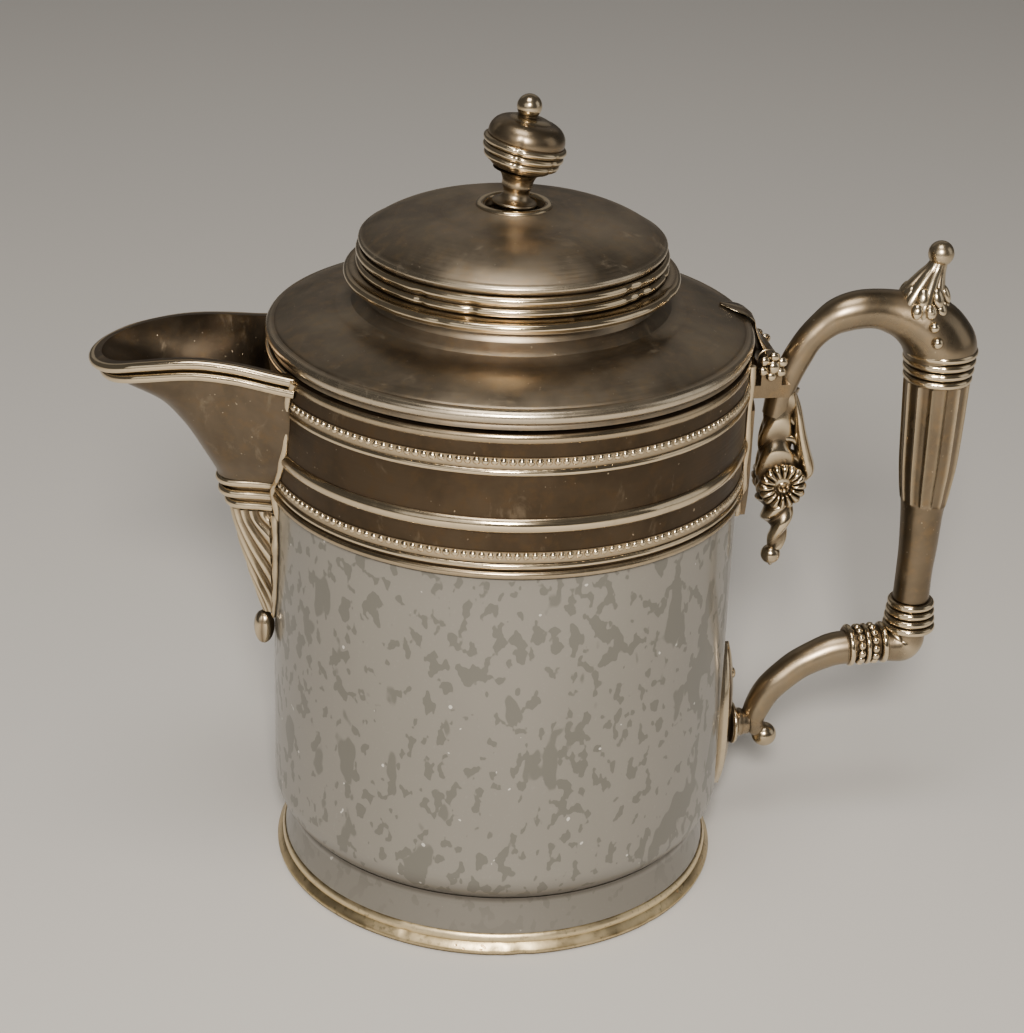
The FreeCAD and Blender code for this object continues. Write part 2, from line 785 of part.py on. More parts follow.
grip_reach = size("grip_reach")
grip_top = size("grip_top")
grip_bottom = size("grip_bottom")
arm_radius = number(size("arm_radius"))
REED_DEPTH = 0.6
LOWER_OFFSET = 0.3
ferrule_radius = size("ferrule_radius")
ferrule_top = size("ferrule_top")
G = number(grip_reach)

# Upper arm: rises beside the hinge, arches over and swells into the elbow above the ferrule.
arm_blank = tapered_tube("upper_arm_form", [
    (51.9, 84.0, 2.5, 90.0),
    (52.0, 91.0, 2.9, 88.0),
    (53.6, 97.2, 3.1, 64.0),
    (57.2, 102.2, 3.1, 44.0),
    (62.4, 105.1, 3.1, 14.0),
    (68.6, 105.0, 3.5, -12.0),
    (74.6, 102.9, 4.9, -44.0),
    (G, number(ferrule_top) - 0.6, 6.4, -90.0),
])
ferrule_block = place(box("ferrule_block", 30.0, 30.0, 20.0), 65.0, -15.0, ferrule_top - 20.0)
upper_arm = keep(cut("upper_arm_cut", arm_blank, ferrule_block), "upper_arm")

core = cylinder("hinge_band_core", band_radius, 140.0)
bracket = cut("hinge_bracket_bored", fuse("hinge_bracket_blank", lugs + [saddle]), bore)
bracket_seat = fuse("bracket_seat", [core, upper_arm])
keep(cut("hinge_bracket_cut", bracket, bracket_seat), "hinge_bracket")

ferrule_root = ferrule_radius - REED_DEPTH
upper_ferrule = turned("upper_ferrule_body", reed_stack(grip_top, ferrule_top, 4, ferrule_root, ferrule_radius) + [
    (ferrule_root, ferrule_top),
    (0, ferrule_top),
    (0, grip_top),
])
keep(place(upper_ferrule, grip_reach), "upper_ferrule")

grip = doc.addObject("Part::Cone", "grip_cone")
bind(grip, Radius1=size("grip_bottom_radius"), Radius2=size("grip_top_radius"), Height=grip_top - grip_bottom)
keep(place(grip, grip_reach, 0.0, grip_bottom), "grip")

lower_ferrule_radius = size("lower_ferrule_radius")
lower_ferrule_bottom = size("lower_ferrule_bottom")
lower_root = lower_ferrule_radius - REED_DEPTH
reeds = reed_stack(lower_ferrule_bottom, grip_bottom, 4, lower_root, lower_ferrule_radius)
lower_ferrule = turned("lower_ferrule_body", reeds + [
    (lower_root, grip_bottom),
    (0, grip_bottom),
    (0, lower_ferrule_bottom),
])
keep(place(lower_ferrule, grip_reach - LOWER_OFFSET), "lower_ferrule")

# Thumb leaf on the elbow, carrying a ball.
LEAF_FOOT = Vector(75.2, 0, 105.6)


def ellipse_wire(centre, half_x, half_y):
    curve = Part.Ellipse(centre, max(half_x, half_y), min(half_x, half_y))
    wire = Part.Wire([curve.toShape()])
    if half_y > half_x:
        wire.rotate(centre, Vector(0, 0, 1), 90.0)
    return wire


leaf = Part.makeLoft([
    ellipse_wire(LEAF_FOOT, 5.4, 4.2),
    ellipse_wire(LEAF_FOOT + Vector(0.4, 0, 3.0), 4.6, 3.6),
    ellipse_wire(LEAF_FOOT + Vector(1.5, 0, 6.4), 2.2, 2.0),
    ellipse_wire(LEAF_FOOT + Vector(2.1, 0, 8.3), 1.2, 1.1),
], True, False)
THUMB_BALL = 2.35
thumb_ball = keep(ball("thumb_ball_form", THUMB_BALL, 77.5, 0.0, 115.3), "thumb_ball")
leaf_seat = fuse("leaf_seat", [upper_arm, thumb_ball])
keep(cut("thumb_leaf_cut", shaped("thumb_leaf_form", leaf), leaf_seat), "thumb_leaf")

# ---------------------------------------------------------------- upper handle mount

rosette_reach = size("rosette_reach")
rosette_level = size("rosette_level")
rosette_radius = size("rosette_radius")
PLATE_PROUD = 1.5
PLATE_FOOT = 68.5
PLATE_HEAD = 91.0
PLATE_HALF = 11.6
PLATE_SHOULDER = 78.0
PLATE_FOOT_HALF = 6.4


def mounting_plate():
    """Shield-shaped plate wrapped round the band, narrower below."""
    outline = [
        (-PLATE_HALF, PLATE_HEAD),
        (PLATE_HALF, PLATE_HEAD),
        (PLATE_HALF, PLATE_SHOULDER),
        (PLATE_FOOT_HALF, PLATE_FOOT),
        (-PLATE_FOOT_HALF, PLATE_FOOT),
        (-PLATE_HALF, PLATE_SHOULDER),
    ]
    points = [Vector(30.0, y, z) for y, z in outline]
    slab = Part.Face(Part.makePolygon(points + [points[0]])).extrude(Vector(20.0, 0, 0))
    ring = band_core(BAND_FACE + PLATE_PROUD).cut(band_core(BAND_FACE))
    return slab.common(ring)


keep(shaped("mount_plate_form", mounting_plate()), "handle_mount_plate")

# Cast bracket between the plate and the arm, with the leaf wing behind the rosettes.
BRACKET_SIDE = [
    (49.3, 91.0),
    (50.0, 84.0),
    (53.6, 84.0),
    (55.0, 78.0),
    (56.0, 72.5),
    (53.4, 67.7),
    (47.6, 67.7),
    (43.4, 70.5),
    (43.4, 78.0),
    (47.0, 81.0),
    (47.4, 88.0),
]
BRACKET_HALF = 2.4
points = [Vector(x, -BRACKET_HALF, z) for x, z in BRACKET_SIDE]
bracket_form = Part.Face(Part.makePolygon(points + [points[0]])).extrude(Vector(0, 2 * BRACKET_HALF, 0))
bracket_form = bracket_form.cut(band_core(BAND_FACE + PLATE_PROUD))
keep(cut("handle_scroll_cut", shaped("handle_scroll_form", bracket_form), upper_arm), "handle_scroll")

ROSETTE_THICK = 1.7


def rosette(name, side):
    """A petalled disc with its flat back on one side of the scroll."""
    disc = turned(name, [
        (0, 0),
        (rosette_radius, 0),
        (rosette_radius, 0.7, 5.0, 1),
        (1.3, ROSETTE_THICK),
        (0, 1.1),
    ])
    angle = 90.0 if side < 0 else -90.0
    return place(disc, rosette_reach, side * BRACKET_HALF, rosette_level, (1, 0, 0), angle)


keep(rosette("near_rosette_body", -1), "near_rosette")
keep(rosette("far_rosette_body", 1), "far_rosette")

# Twisted tail under the rosettes, ending in a small ball.
tail_form = tapered_tube("scroll_tail_form", [
    (50.6, 67.65, 2.9, -90.0),
    (51.3, 65.2, 2.5, -84.0),
    (51.6, 62.0, 1.7, -92.0),
    (51.0, 58.9, 1.3, -104.0),
])
keep(tail_form, "scroll_tail")
tail_ball_form = ball("tail_ball_form", 1.85, 50.6, 0.0, 57.2)
keep(cut("tail_ball_cut", tail_ball_form, tail_form), "tail_ball")

# ---------------------------------------------------------------- lower handle

LOWER = number(size("lower_arm_level"))
elbow_x = G - LOWER_OFFSET
keep(tapered_tube("lower_elbow_form", [
    (elbow_x, number(lower_ferrule_bottom) - 0.02, 3.2, -90.0),
    (elbow_x - 0.2, 38.9, 3.2, -96.0),
    (elbow_x - 1.1, 37.5, 3.3, -135.0),
    (elbow_x - 2.8, LOWER, 3.2, 180.0),
    (74.65, LOWER, 3.1, 180.0),
]), "lower_elbow")

collar = turned("bead_collar_body", reed_stack(0.0, 7.6, 3, 3.35, 4.05) + [
    (3.35, 7.6),
    (0, 7.6),
    (0, 0),
])
keep(place(collar, 66.8, 0.0, LOWER - 0.4, (0, 1, 0), 87.0), "arm_collar")

lower_arm_form = tapered_tube("lower_arm_form", [
    (66.7, 36.95, 3.1, 184.0),
    (63.0, 36.0, 3.0, 200.0),
    (59.4, 34.3, 2.8, 208.0),
    (55.9, 31.9, 2.7, 218.0),
    (52.9, 28.8, 2.7, 232.0),
    (50.5, 24.9, 2.6, 256.0),
    (50.1, 20.8, 2.3, 275.0),
])

# Round flange that seats the arm on the escutcheon.
FLANGE_LEVEL = 21.6
FLANGE_SUNK = 0.1
NECK_RADIUS = 3.1
flange = turned("arm_flange_body", [
    (0, 0),
    (NECK_RADIUS, 0),
    (NECK_RADIUS, 1.4),
    (4.7, 1.7),
    (4.7, 2.5),
    (0, 2.5),
])
plate_ridge = size("plate_ridge")
keep(place(flange, plate_ridge - FLANGE_SUNK, 0.0, FLANGE_LEVEL, (0, 1, 0), 90.0), "arm_flange")
keep(cut("lower_arm_cut", lower_arm_form, flange), "lower_arm")
keep(ball("arm_ball_form", 2.4, 52.3, 0.0, 18.6), "arm_ball")

# Pointed-oval escutcheon with a raised ridge, soldered to the enamelled wall.
plate_half_height = number(size("plate_half_height"))
plate_half_width = number(size("plate_half_width"))
plate_level = number(size("plate_level"))


def pointed_oval(half_width, half_height, level, x):
    """Two arcs meeting in points above and below."""
    top = Vector(x, 0, level + half_height)
    bottom = Vector(x, 0, level - half_height)
    right = Part.Arc(bottom, Vector(x, half_width, level), top).toShape()
    left = Part.Arc(top, Vector(x, -half_width, level), bottom).toShape()
    return Part.Wire([right, left])


def escutcheon_shape():
    outer = Part.Face(pointed_oval(plate_half_width, plate_half_height, plate_level, 36.0))
    prism = outer.extrude(Vector(14.0, 0, 0))
    ridge = number(plate_ridge)
    edge = number(body_radius) - 0.4
    roof = [
        Vector(30.0, -10.0, 5.0),
        Vector(edge, -8.2, 5.0),
        Vector(ridge, 0, 5.0),
        Vector(edge, 8.2, 5.0),
        Vector(30.0, 10.0, 5.0),
    ]
    roof_solid = Part.Face(Part.makePolygon(roof + [roof[0]])).extrude(Vector(0, 0, 40.0))
    return prism.common(roof_solid).cut(enamel_core())


def enamel_core():
    """The enamelled body's own outer form, to sit the escutcheon on."""
    radius = number(body_radius)
    low = number(floor_height)
    round_corner = number(corner)
    column = Part.makeCylinder(radius, 90.0, Vector(0, 0, low))
    rim = [edge for edge in column.Edges if abs(edge.BoundBox.ZMax - low) < 1e-6]
    return column.makeFillet(round_corner, [rim[0]])


escutcheon = escutcheon_shape()
seat_start = Vector(number(plate_ridge) - FLANGE_SUNK, 0, FLANGE_LEVEL)
flange_seat = Part.makeCylinder(NECK_RADIUS, 10.0, seat_start, Vector(1, 0, 0))
keep(shaped("escutcheon_form", escutcheon.cut(flange_seat)), "escutcheon")

# ---------------------------------------------------------------- check and write

doc.recompute()
faults = [item.Name for item in doc.Objects if {"Invalid", "Error"} & set(item.State)]
for part in SUB_PARTS:
    if part.Shape.isNull() or not part.Shape.isValid() or not part.Shape.Solids:
        faults.append(part.Label)
if faults:
    raise RuntimeError("not sound: " + ", ".join(faults))

os.makedirs("parts", exist_ok=True)
for part in SUB_PARTS:
    part.Shape.exportStep("parts/%s.step" % part.Label)
print("wrote %d sub-parts" % len(SUB_PARTS))
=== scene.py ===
"""Looks of a lidded cream jug: grey enamelled body, tarnished plated fittings, tall scroll handle.

Shapes are in millimetres until Form.piece makes the Blender mesh in metres."""
import math

import bpy
import numpy as np
from mathutils import Matrix, Vector


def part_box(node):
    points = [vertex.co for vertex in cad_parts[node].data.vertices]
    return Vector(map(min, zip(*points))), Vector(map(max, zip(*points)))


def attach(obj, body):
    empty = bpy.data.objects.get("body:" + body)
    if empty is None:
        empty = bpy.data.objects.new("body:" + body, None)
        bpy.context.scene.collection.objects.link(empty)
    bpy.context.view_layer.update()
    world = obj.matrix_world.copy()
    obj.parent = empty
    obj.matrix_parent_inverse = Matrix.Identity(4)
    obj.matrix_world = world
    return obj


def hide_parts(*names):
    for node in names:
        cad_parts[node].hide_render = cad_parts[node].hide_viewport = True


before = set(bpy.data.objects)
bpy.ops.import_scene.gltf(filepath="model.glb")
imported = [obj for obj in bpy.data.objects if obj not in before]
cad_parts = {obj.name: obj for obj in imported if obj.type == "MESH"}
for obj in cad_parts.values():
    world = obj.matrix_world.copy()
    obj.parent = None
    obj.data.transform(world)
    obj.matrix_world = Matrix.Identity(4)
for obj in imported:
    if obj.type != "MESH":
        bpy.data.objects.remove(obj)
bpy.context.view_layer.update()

MM = 0.001
rng = np.random.default_rng(7)


def span(node):
    """Lowest and highest corner of a CAD node, in millimetres."""
    low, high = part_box(node)
    return np.array(low) / MM, np.array(high) / MM


def middle(node):
    low, high = span(node)
    return (low + high) / 2.0


def half(node):
    """Half of a CAD node's size along each axis."""
    low, high = span(node)
    return (high - low) / 2.0


def linked(name, data):
    made = bpy.data.objects.new(name, data)
    bpy.context.scene.collection.objects.link(made)
    return made


# ---- materials

CREST = "crest"


class Finish:
    """A procedural material under construction, with short names for its nodes."""

    def __init__(self, name):
        self.material = bpy.data.materials.new(name)
        self.material.use_nodes = True
        self.tree = self.material.node_tree
        self.shader = self.tree.nodes["Principled BSDF"]
        self.place = self.node("ShaderNodeTexCoord").outputs["Object"]

    def feed(self, socket, value):
        if isinstance(value, bpy.types.NodeSocket):
            self.tree.links.new(value, socket)
        else:
            socket.default_value = value

    def node(self, kind, inputs=None, **settings):
        made = self.tree.nodes.new(kind)
        for key, value in settings.items():
            setattr(made, key, value)
        for key, value in (inputs or {}).items():
            self.feed(made.inputs[key], value)
        return made

    def stretch(self, x, y, z, vector=None):
        """Object coordinates, or another vector, in millimetres and scaled along each axis."""
        inputs = {"Vector": vector or self.place, "Scale": (x / MM, y / MM, z / MM)}
        return self.node("ShaderNodeMapping", inputs).outputs["Vector"]

    def noise(self, size, detail=3.0, rough=0.55, warp=0.0, squeeze=(1, 1, 1), shift=0.0, vector=None):
        """Noise whose features are about size millimetres across."""
        inputs = {
            "Vector": vector or self.stretch(*[share / size for share in squeeze]),
            "Scale": 1.0,
            "Detail": detail,
            "Roughness": rough,
            "Distortion": warp,
            "W": shift,
        }
        return self.node("ShaderNodeTexNoise", inputs, noise_dimensions="4D").outputs["Fac"]

    def step(self, value, low, high, bottom=0.0, top=1.0):
        inputs = {"Value": value, "From Min": low, "From Max": high, "To Min": bottom, "To Max": top}
        return self.node("ShaderNodeMapRange", inputs, interpolation_type="SMOOTHSTEP").outputs["Result"]

    def sums(self, kind, first, second=0.0, clamp=False):
        inputs = {0: first, 1: second}
        return self.node("ShaderNodeMath", inputs, operation=kind, use_clamp=clamp).outputs[0]

    def plus(self, first, second, clamp=False):
        return self.sums("ADD", first, second, clamp)

    def times(self, first, second):
        return self.sums("MULTIPLY", first, second)

    def tint(self, share, under, over):
        made = self.node("ShaderNodeMix", {"Factor": share}, data_type="RGBA")
        for socket, value in ((made.inputs[6], under), (made.inputs[7], over)):
            self.feed(socket, value if isinstance(value, bpy.types.NodeSocket) else (*value, 1.0))
        return made.outputs[2]

    def crest(self):
        return self.node("ShaderNodeAttribute", attribute_name=CREST).outputs["Fac"]

    def recess(self, reach):
        """Mask for painted shade: 1 in narrow corners, 0 in the open, felt over reach millimetres."""
        made = self.node("ShaderNodeAmbientOcclusion", {"Distance": reach * MM}, samples=6)
        return self.step(made.outputs["AO"], 0.9, 0.35)

    def split(self):
        return self.node("ShaderNodeSeparateXYZ", {"Vector": self.place}).outputs

    def round_grain(self, across, along):
        """Fine marks that run round the jug's axis, as spinning and polishing leave them."""
        parts = self.split()
        squares = self.plus(self.times(parts[0], parts[0]), self.times(parts[1], parts[1]))
        inputs = {
            "X": self.sums("SQRT", squares),
            "Y": parts[2],
            "Z": self.times(parts[0], across / along),
        }
        joined = self.node("ShaderNodeCombineXYZ", inputs).outputs["Vector"]
        share = 1 / across
        return self.noise(across, detail=2.0, vector=self.stretch(share, share, share, joined))

    def bump(self, *layers):
        """Stacks (height, depth in millimetres) layers into one normal."""
        normal = None
        for height, depth in layers:
            inputs = {"Height": height, "Distance": depth * MM, "Strength": 1.0}
            if normal:
                inputs["Normal"] = normal
            normal = self.node("ShaderNodeBump", inputs).outputs["Normal"]
        self.feed(self.shader.inputs["Normal"], normal)

    def finish(self, colour, roughness, **constants):
        self.feed(self.shader.inputs["Base Color"], colour)
        self.feed(self.shader.inputs["Roughness"], roughness)
        for key, value in constants.items():
            self.shader.inputs[key.replace("_", " ")].default_value = value
        return self.material


ENAMEL_GROUND = (0.158, 0.148, 0.127), (0.23, 0.216, 0.186)
ENAMEL_PATCH = (0.1, 0.096, 0.08), (0.142, 0.136, 0.115)
ENAMEL_SPECK = (0.24, 0.232, 0.205)
ENAMEL_FLECK = (0.62, 0.60, 0.55)
# Tones of painted shade: on the skirt, and over the groove and in corners.
SKIRT_SHADE = (0.052, 0.046, 0.036)
GROOVE_AND_CORNER_SHADE = (0.045, 0.036, 0.026)


def enamel_patches(f, height):
    """Drawn-out blotches, closer in the upper half, and small spots that gather in clusters."""
    large = f.noise(6.6, detail=2.2, rough=0.5, warp=0.15, squeeze=(1.0, 1.0, 0.6), shift=1.3)
    drift = f.noise(30.0, detail=1.0, squeeze=(1.0, 1.0, 0.45), shift=4.0)
    large = f.plus(large, f.times(f.sums("SUBTRACT", drift, 0.5), 0.32))
    large = f.plus(large, f.times(f.step(height, 12.0 * MM, 60.0 * MM), 0.016))
    small = f.noise(2.15, detail=1.8, rough=0.45, warp=0.1, squeeze=(1.0, 1.0, 0.7), shift=9.0)
    cluster = f.noise(19.0, detail=2.0, shift=2.0)
    small = f.plus(small, f.times(f.sums("SUBTRACT", cluster, 0.5), 0.36))
    patch = f.sums("MAXIMUM", f.step(large, 0.62, 0.644), f.step(small, 0.562, 0.59))
    return f.times(patch, f.step(height, 6.0 * MM, 14.0 * MM, 0.3, 1.0))


def enamel():
    """Light grey enamel with crisp darker patches and white flecks, painted shade on the skirt and in
    corners, and a painted shadow over the groove.
    """
    f = Finish("grey_enamel")
    height = f.split()[2]
    patch = enamel_patches(f, height)
    shade = f.noise(34.0, detail=3.0, squeeze=(1.0, 1.0, 0.4), shift=6.0)
    speck = f.noise(0.55, detail=1.0, shift=3.0)
    ground = f.tint(f.step(speck, 0.62, 0.72, 0.0, 0.25), f.tint(shade, *ENAMEL_GROUND), ENAMEL_SPECK)
    colour = f.tint(patch, ground, f.tint(shade, *ENAMEL_PATCH))
    fleck = f.step(f.noise(1.3, detail=0.0, shift=12.0), 0.825, 0.84, 0.0, 0.75)
    colour = f.tint(fleck, colour, ENAMEL_FLECK)
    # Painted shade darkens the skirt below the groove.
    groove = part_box("foot_skirt")[1][2]
    skirt_shade = f.step(height, groove - 0.6 * MM, groove + 0.2 * MM, 0.36, 0.0)
    colour = f.tint(skirt_shade, colour, SKIRT_SHADE)
    # A painted shadow lies in a band over the groove.
    above = f.times(f.step(height, groove, groove + 5.6 * MM, 1.0, 0.0),
                    f.step(height, groove - 1.2 * MM, groove - 0.2 * MM))
    # Painted shade in corners joins that shadow; both darken the glaze and roughen it as dirt would.
    grime_and_shade = f.sums("MAXIMUM", f.recess(2.4), above)
    colour = f.tint(f.times(grime_and_shade, 0.85), colour, GROOVE_AND_CORNER_SHADE)
    rough = f.plus(f.step(shade, 0.3, 0.7, 0.3, 0.4), f.times(patch, 0.07))
    rough = f.plus(rough, f.times(grime_and_shade, 0.3), clamp=True)
    glaze = f.noise(2.2, detail=2.0, shift=5.0)
    f.bump((glaze, 0.018), (patch, -0.012), (speck, 0.006))
    return f.finish(colour, rough, Coat_Weight=0.5, Coat_Roughness=0.09, Specular_IOR_Level=0.5)


def plate_metal(name, dull, bright, mean_rough, round_marks=False, grime_and_shade_reach=1.6, pitting=0.5, warm=0.0):
    """Plated metal, tarnished brown-grey, rubbed bright on crests, with painted shade in the recesses.

    The painted shade, and the roughening that dirt gives there, reach grime_and_shade_reach millimetres out
    of a corner, and warm reddens the shade."""
    f = Finish(name)
    cloud = f.noise(15.0, detail=4.0, rough=0.6, warp=0.4, shift=1.0)
    mottle = f.noise(2.6, detail=4.0, rough=0.65, shift=7.0)
    colour = f.tint(f.step(cloud, 0.32, 0.68), tuple(0.66 * c for c in dull), dull)
    warm_tone = (dull[0] * 1.12, dull[1] * 0.98, dull[2] * 0.78)
    colour = f.tint(f.step(mottle, 0.45, 0.7, 0.0, 0.55), colour, warm_tone)
    # Milky smears, and a scatter of pale specks and pits.
    smear = f.noise(6.0, detail=5.0, rough=0.7, warp=0.8, squeeze=(1.0, 1.0, 0.6), shift=3.0)
    smear = f.step(smear, 0.57, 0.72, 0.0, pitting)
    colour = f.tint(f.times(smear, 0.55), colour, tuple(0.5 * (a + b) for a, b in zip(dull, bright)))
    pit = f.step(f.noise(0.8, detail=1.0, shift=15.0), 0.72, 0.78, 0.0, pitting)
    colour = f.tint(pit, colour, bright)
    rub = f.times(f.crest(), f.step(mottle, 0.25, 0.5, 0.72, 1.0))
    colour = f.tint(rub, colour, bright)
    # Painted shade: recesses darken towards near-black, and they also roughen as dirt would.
    grime_and_shade = f.recess(grime_and_shade_reach)
    colour = f.tint(f.times(grime_and_shade, 0.86), colour, (0.022 + warm, 0.014 + warm * 0.6, 0.007))
    rough = f.step(cloud, 0.3, 0.7, mean_rough - 0.05, mean_rough + 0.06)
    rough = f.plus(rough, f.times(smear, 0.28))
    rough = f.plus(rough, f.times(grime_and_shade, 0.25))
    rough = f.sums("SUBTRACT", rough, f.times(rub, 0.16), clamp=True)
    layers = [(cloud, 0.05), (mottle, 0.012), (pit, -0.03)]
    if round_marks:
        marks = f.round_grain(0.11, 9.0)
        rough = f.plus(rough, f.step(marks, 0.3, 0.7, -0.03, 0.05))
        layers.append((marks, 0.0011))
    else:
        layers.append((f.noise(0.35, detail=2.0, shift=8.0), 0.003))
    f.bump(*layers)
    return f.finish(colour, rough, Metallic=1.0)


def gilt_edge():
    """Pale brass-gold foot band with stains, the plating gone in places, and painted shade in its recesses.
    """
    f = Finish("foot_band_metal")
    cloud = f.noise(7.0, detail=4.0, rough=0.65, warp=0.5, shift=2.0)
    fine = f.noise(1.2, detail=3.0, shift=5.0)
    colour = f.tint(f.step(cloud, 0.35, 0.65), (0.33, 0.245, 0.118), (0.62, 0.49, 0.28))
    bare = f.step(f.noise(5.0, detail=3.0, rough=0.7, squeeze=(1, 1, 1.6), shift=11.0), 0.66, 0.7)
    colour = f.tint(bare, colour, (0.62, 0.30, 0.10))
    colour = f.tint(f.crest(), colour, (0.82, 0.68, 0.43))
    colour = f.tint(f.step(fine, 0.55, 0.75, 0.0, 0.6), colour, (0.12, 0.09, 0.05))
    # Painted shade: recesses darken towards near-black and roughen as dirt would.
    grime_and_shade = f.recess(1.8)
    colour = f.tint(f.times(grime_and_shade, 0.9), colour, (0.03, 0.02, 0.01))
    rough = f.plus(f.step(cloud, 0.3, 0.7, 0.3, 0.46), f.times(grime_and_shade, 0.3), clamp=True)
    f.bump((cloud, 0.05), (fine, 0.025), (bare, -0.05))
    return f.finish(colour, rough, Metallic=1.0)


def turned_brass():
    """Nut, stud and hinge pin: unplated brass with turning marks."""
    f = Finish("fastener_metal")
    cloud = f.noise(2.0, detail=4.0, shift=3.0)
    colour = f.tint(f.step(cloud, 0.3, 0.7), (0.33, 0.21, 0.08), (0.60, 0.43, 0.19))
    # Painted shade darkens the recesses.
    colour = f.tint(f.times(f.recess(0.8), 0.8), colour, (0.04, 0.025, 0.01))
    marks = f.round_grain(0.08, 4.0)
    f.bump((marks, 0.004), (cloud, 0.01))
    return f.finish(colour, f.step(marks, 0.3, 0.7, 0.28, 0.42), Metallic=1.0)


FINISHES = {
    "grey_enamel": enamel(),
    "spun_metal": plate_metal("spun_metal", (0.36, 0.298, 0.22), (0.68, 0.58, 0.43), 0.38, True),
    "dark_band": plate_metal("dark_band", (0.104, 0.075, 0.048), (0.44, 0.35, 0.24), 0.43, True, 1.3, 1.0),
    "spout_metal": plate_metal("spout_metal", (0.19, 0.148, 0.103), (0.54, 0.45, 0.32), 0.34,
                               grime_and_shade_reach=2.0, pitting=1.0, warm=0.02),
    "worn_moulding": plate_metal("worn_moulding", (0.3, 0.228, 0.145), (0.8, 0.66, 0.45), 0.27,
                                 True, grime_and_shade_reach=0.9, pitting=0.3),
    "cast_metal": plate_metal("cast_metal", (0.28, 0.218, 0.146), (0.78, 0.65, 0.45), 0.31, warm=0.012),
    "foot_band_metal": gilt_edge(),
    "fastener_metal": turned_brass(),
}

# ---- mesh building

TURN = 2.0 * math.pi
FULL_STEPS = 240
POLE_GAP = 0.02
TINY = 1e-6


def round_angles(count):
    return np.linspace(0.0, TURN, count, endpoint=False)


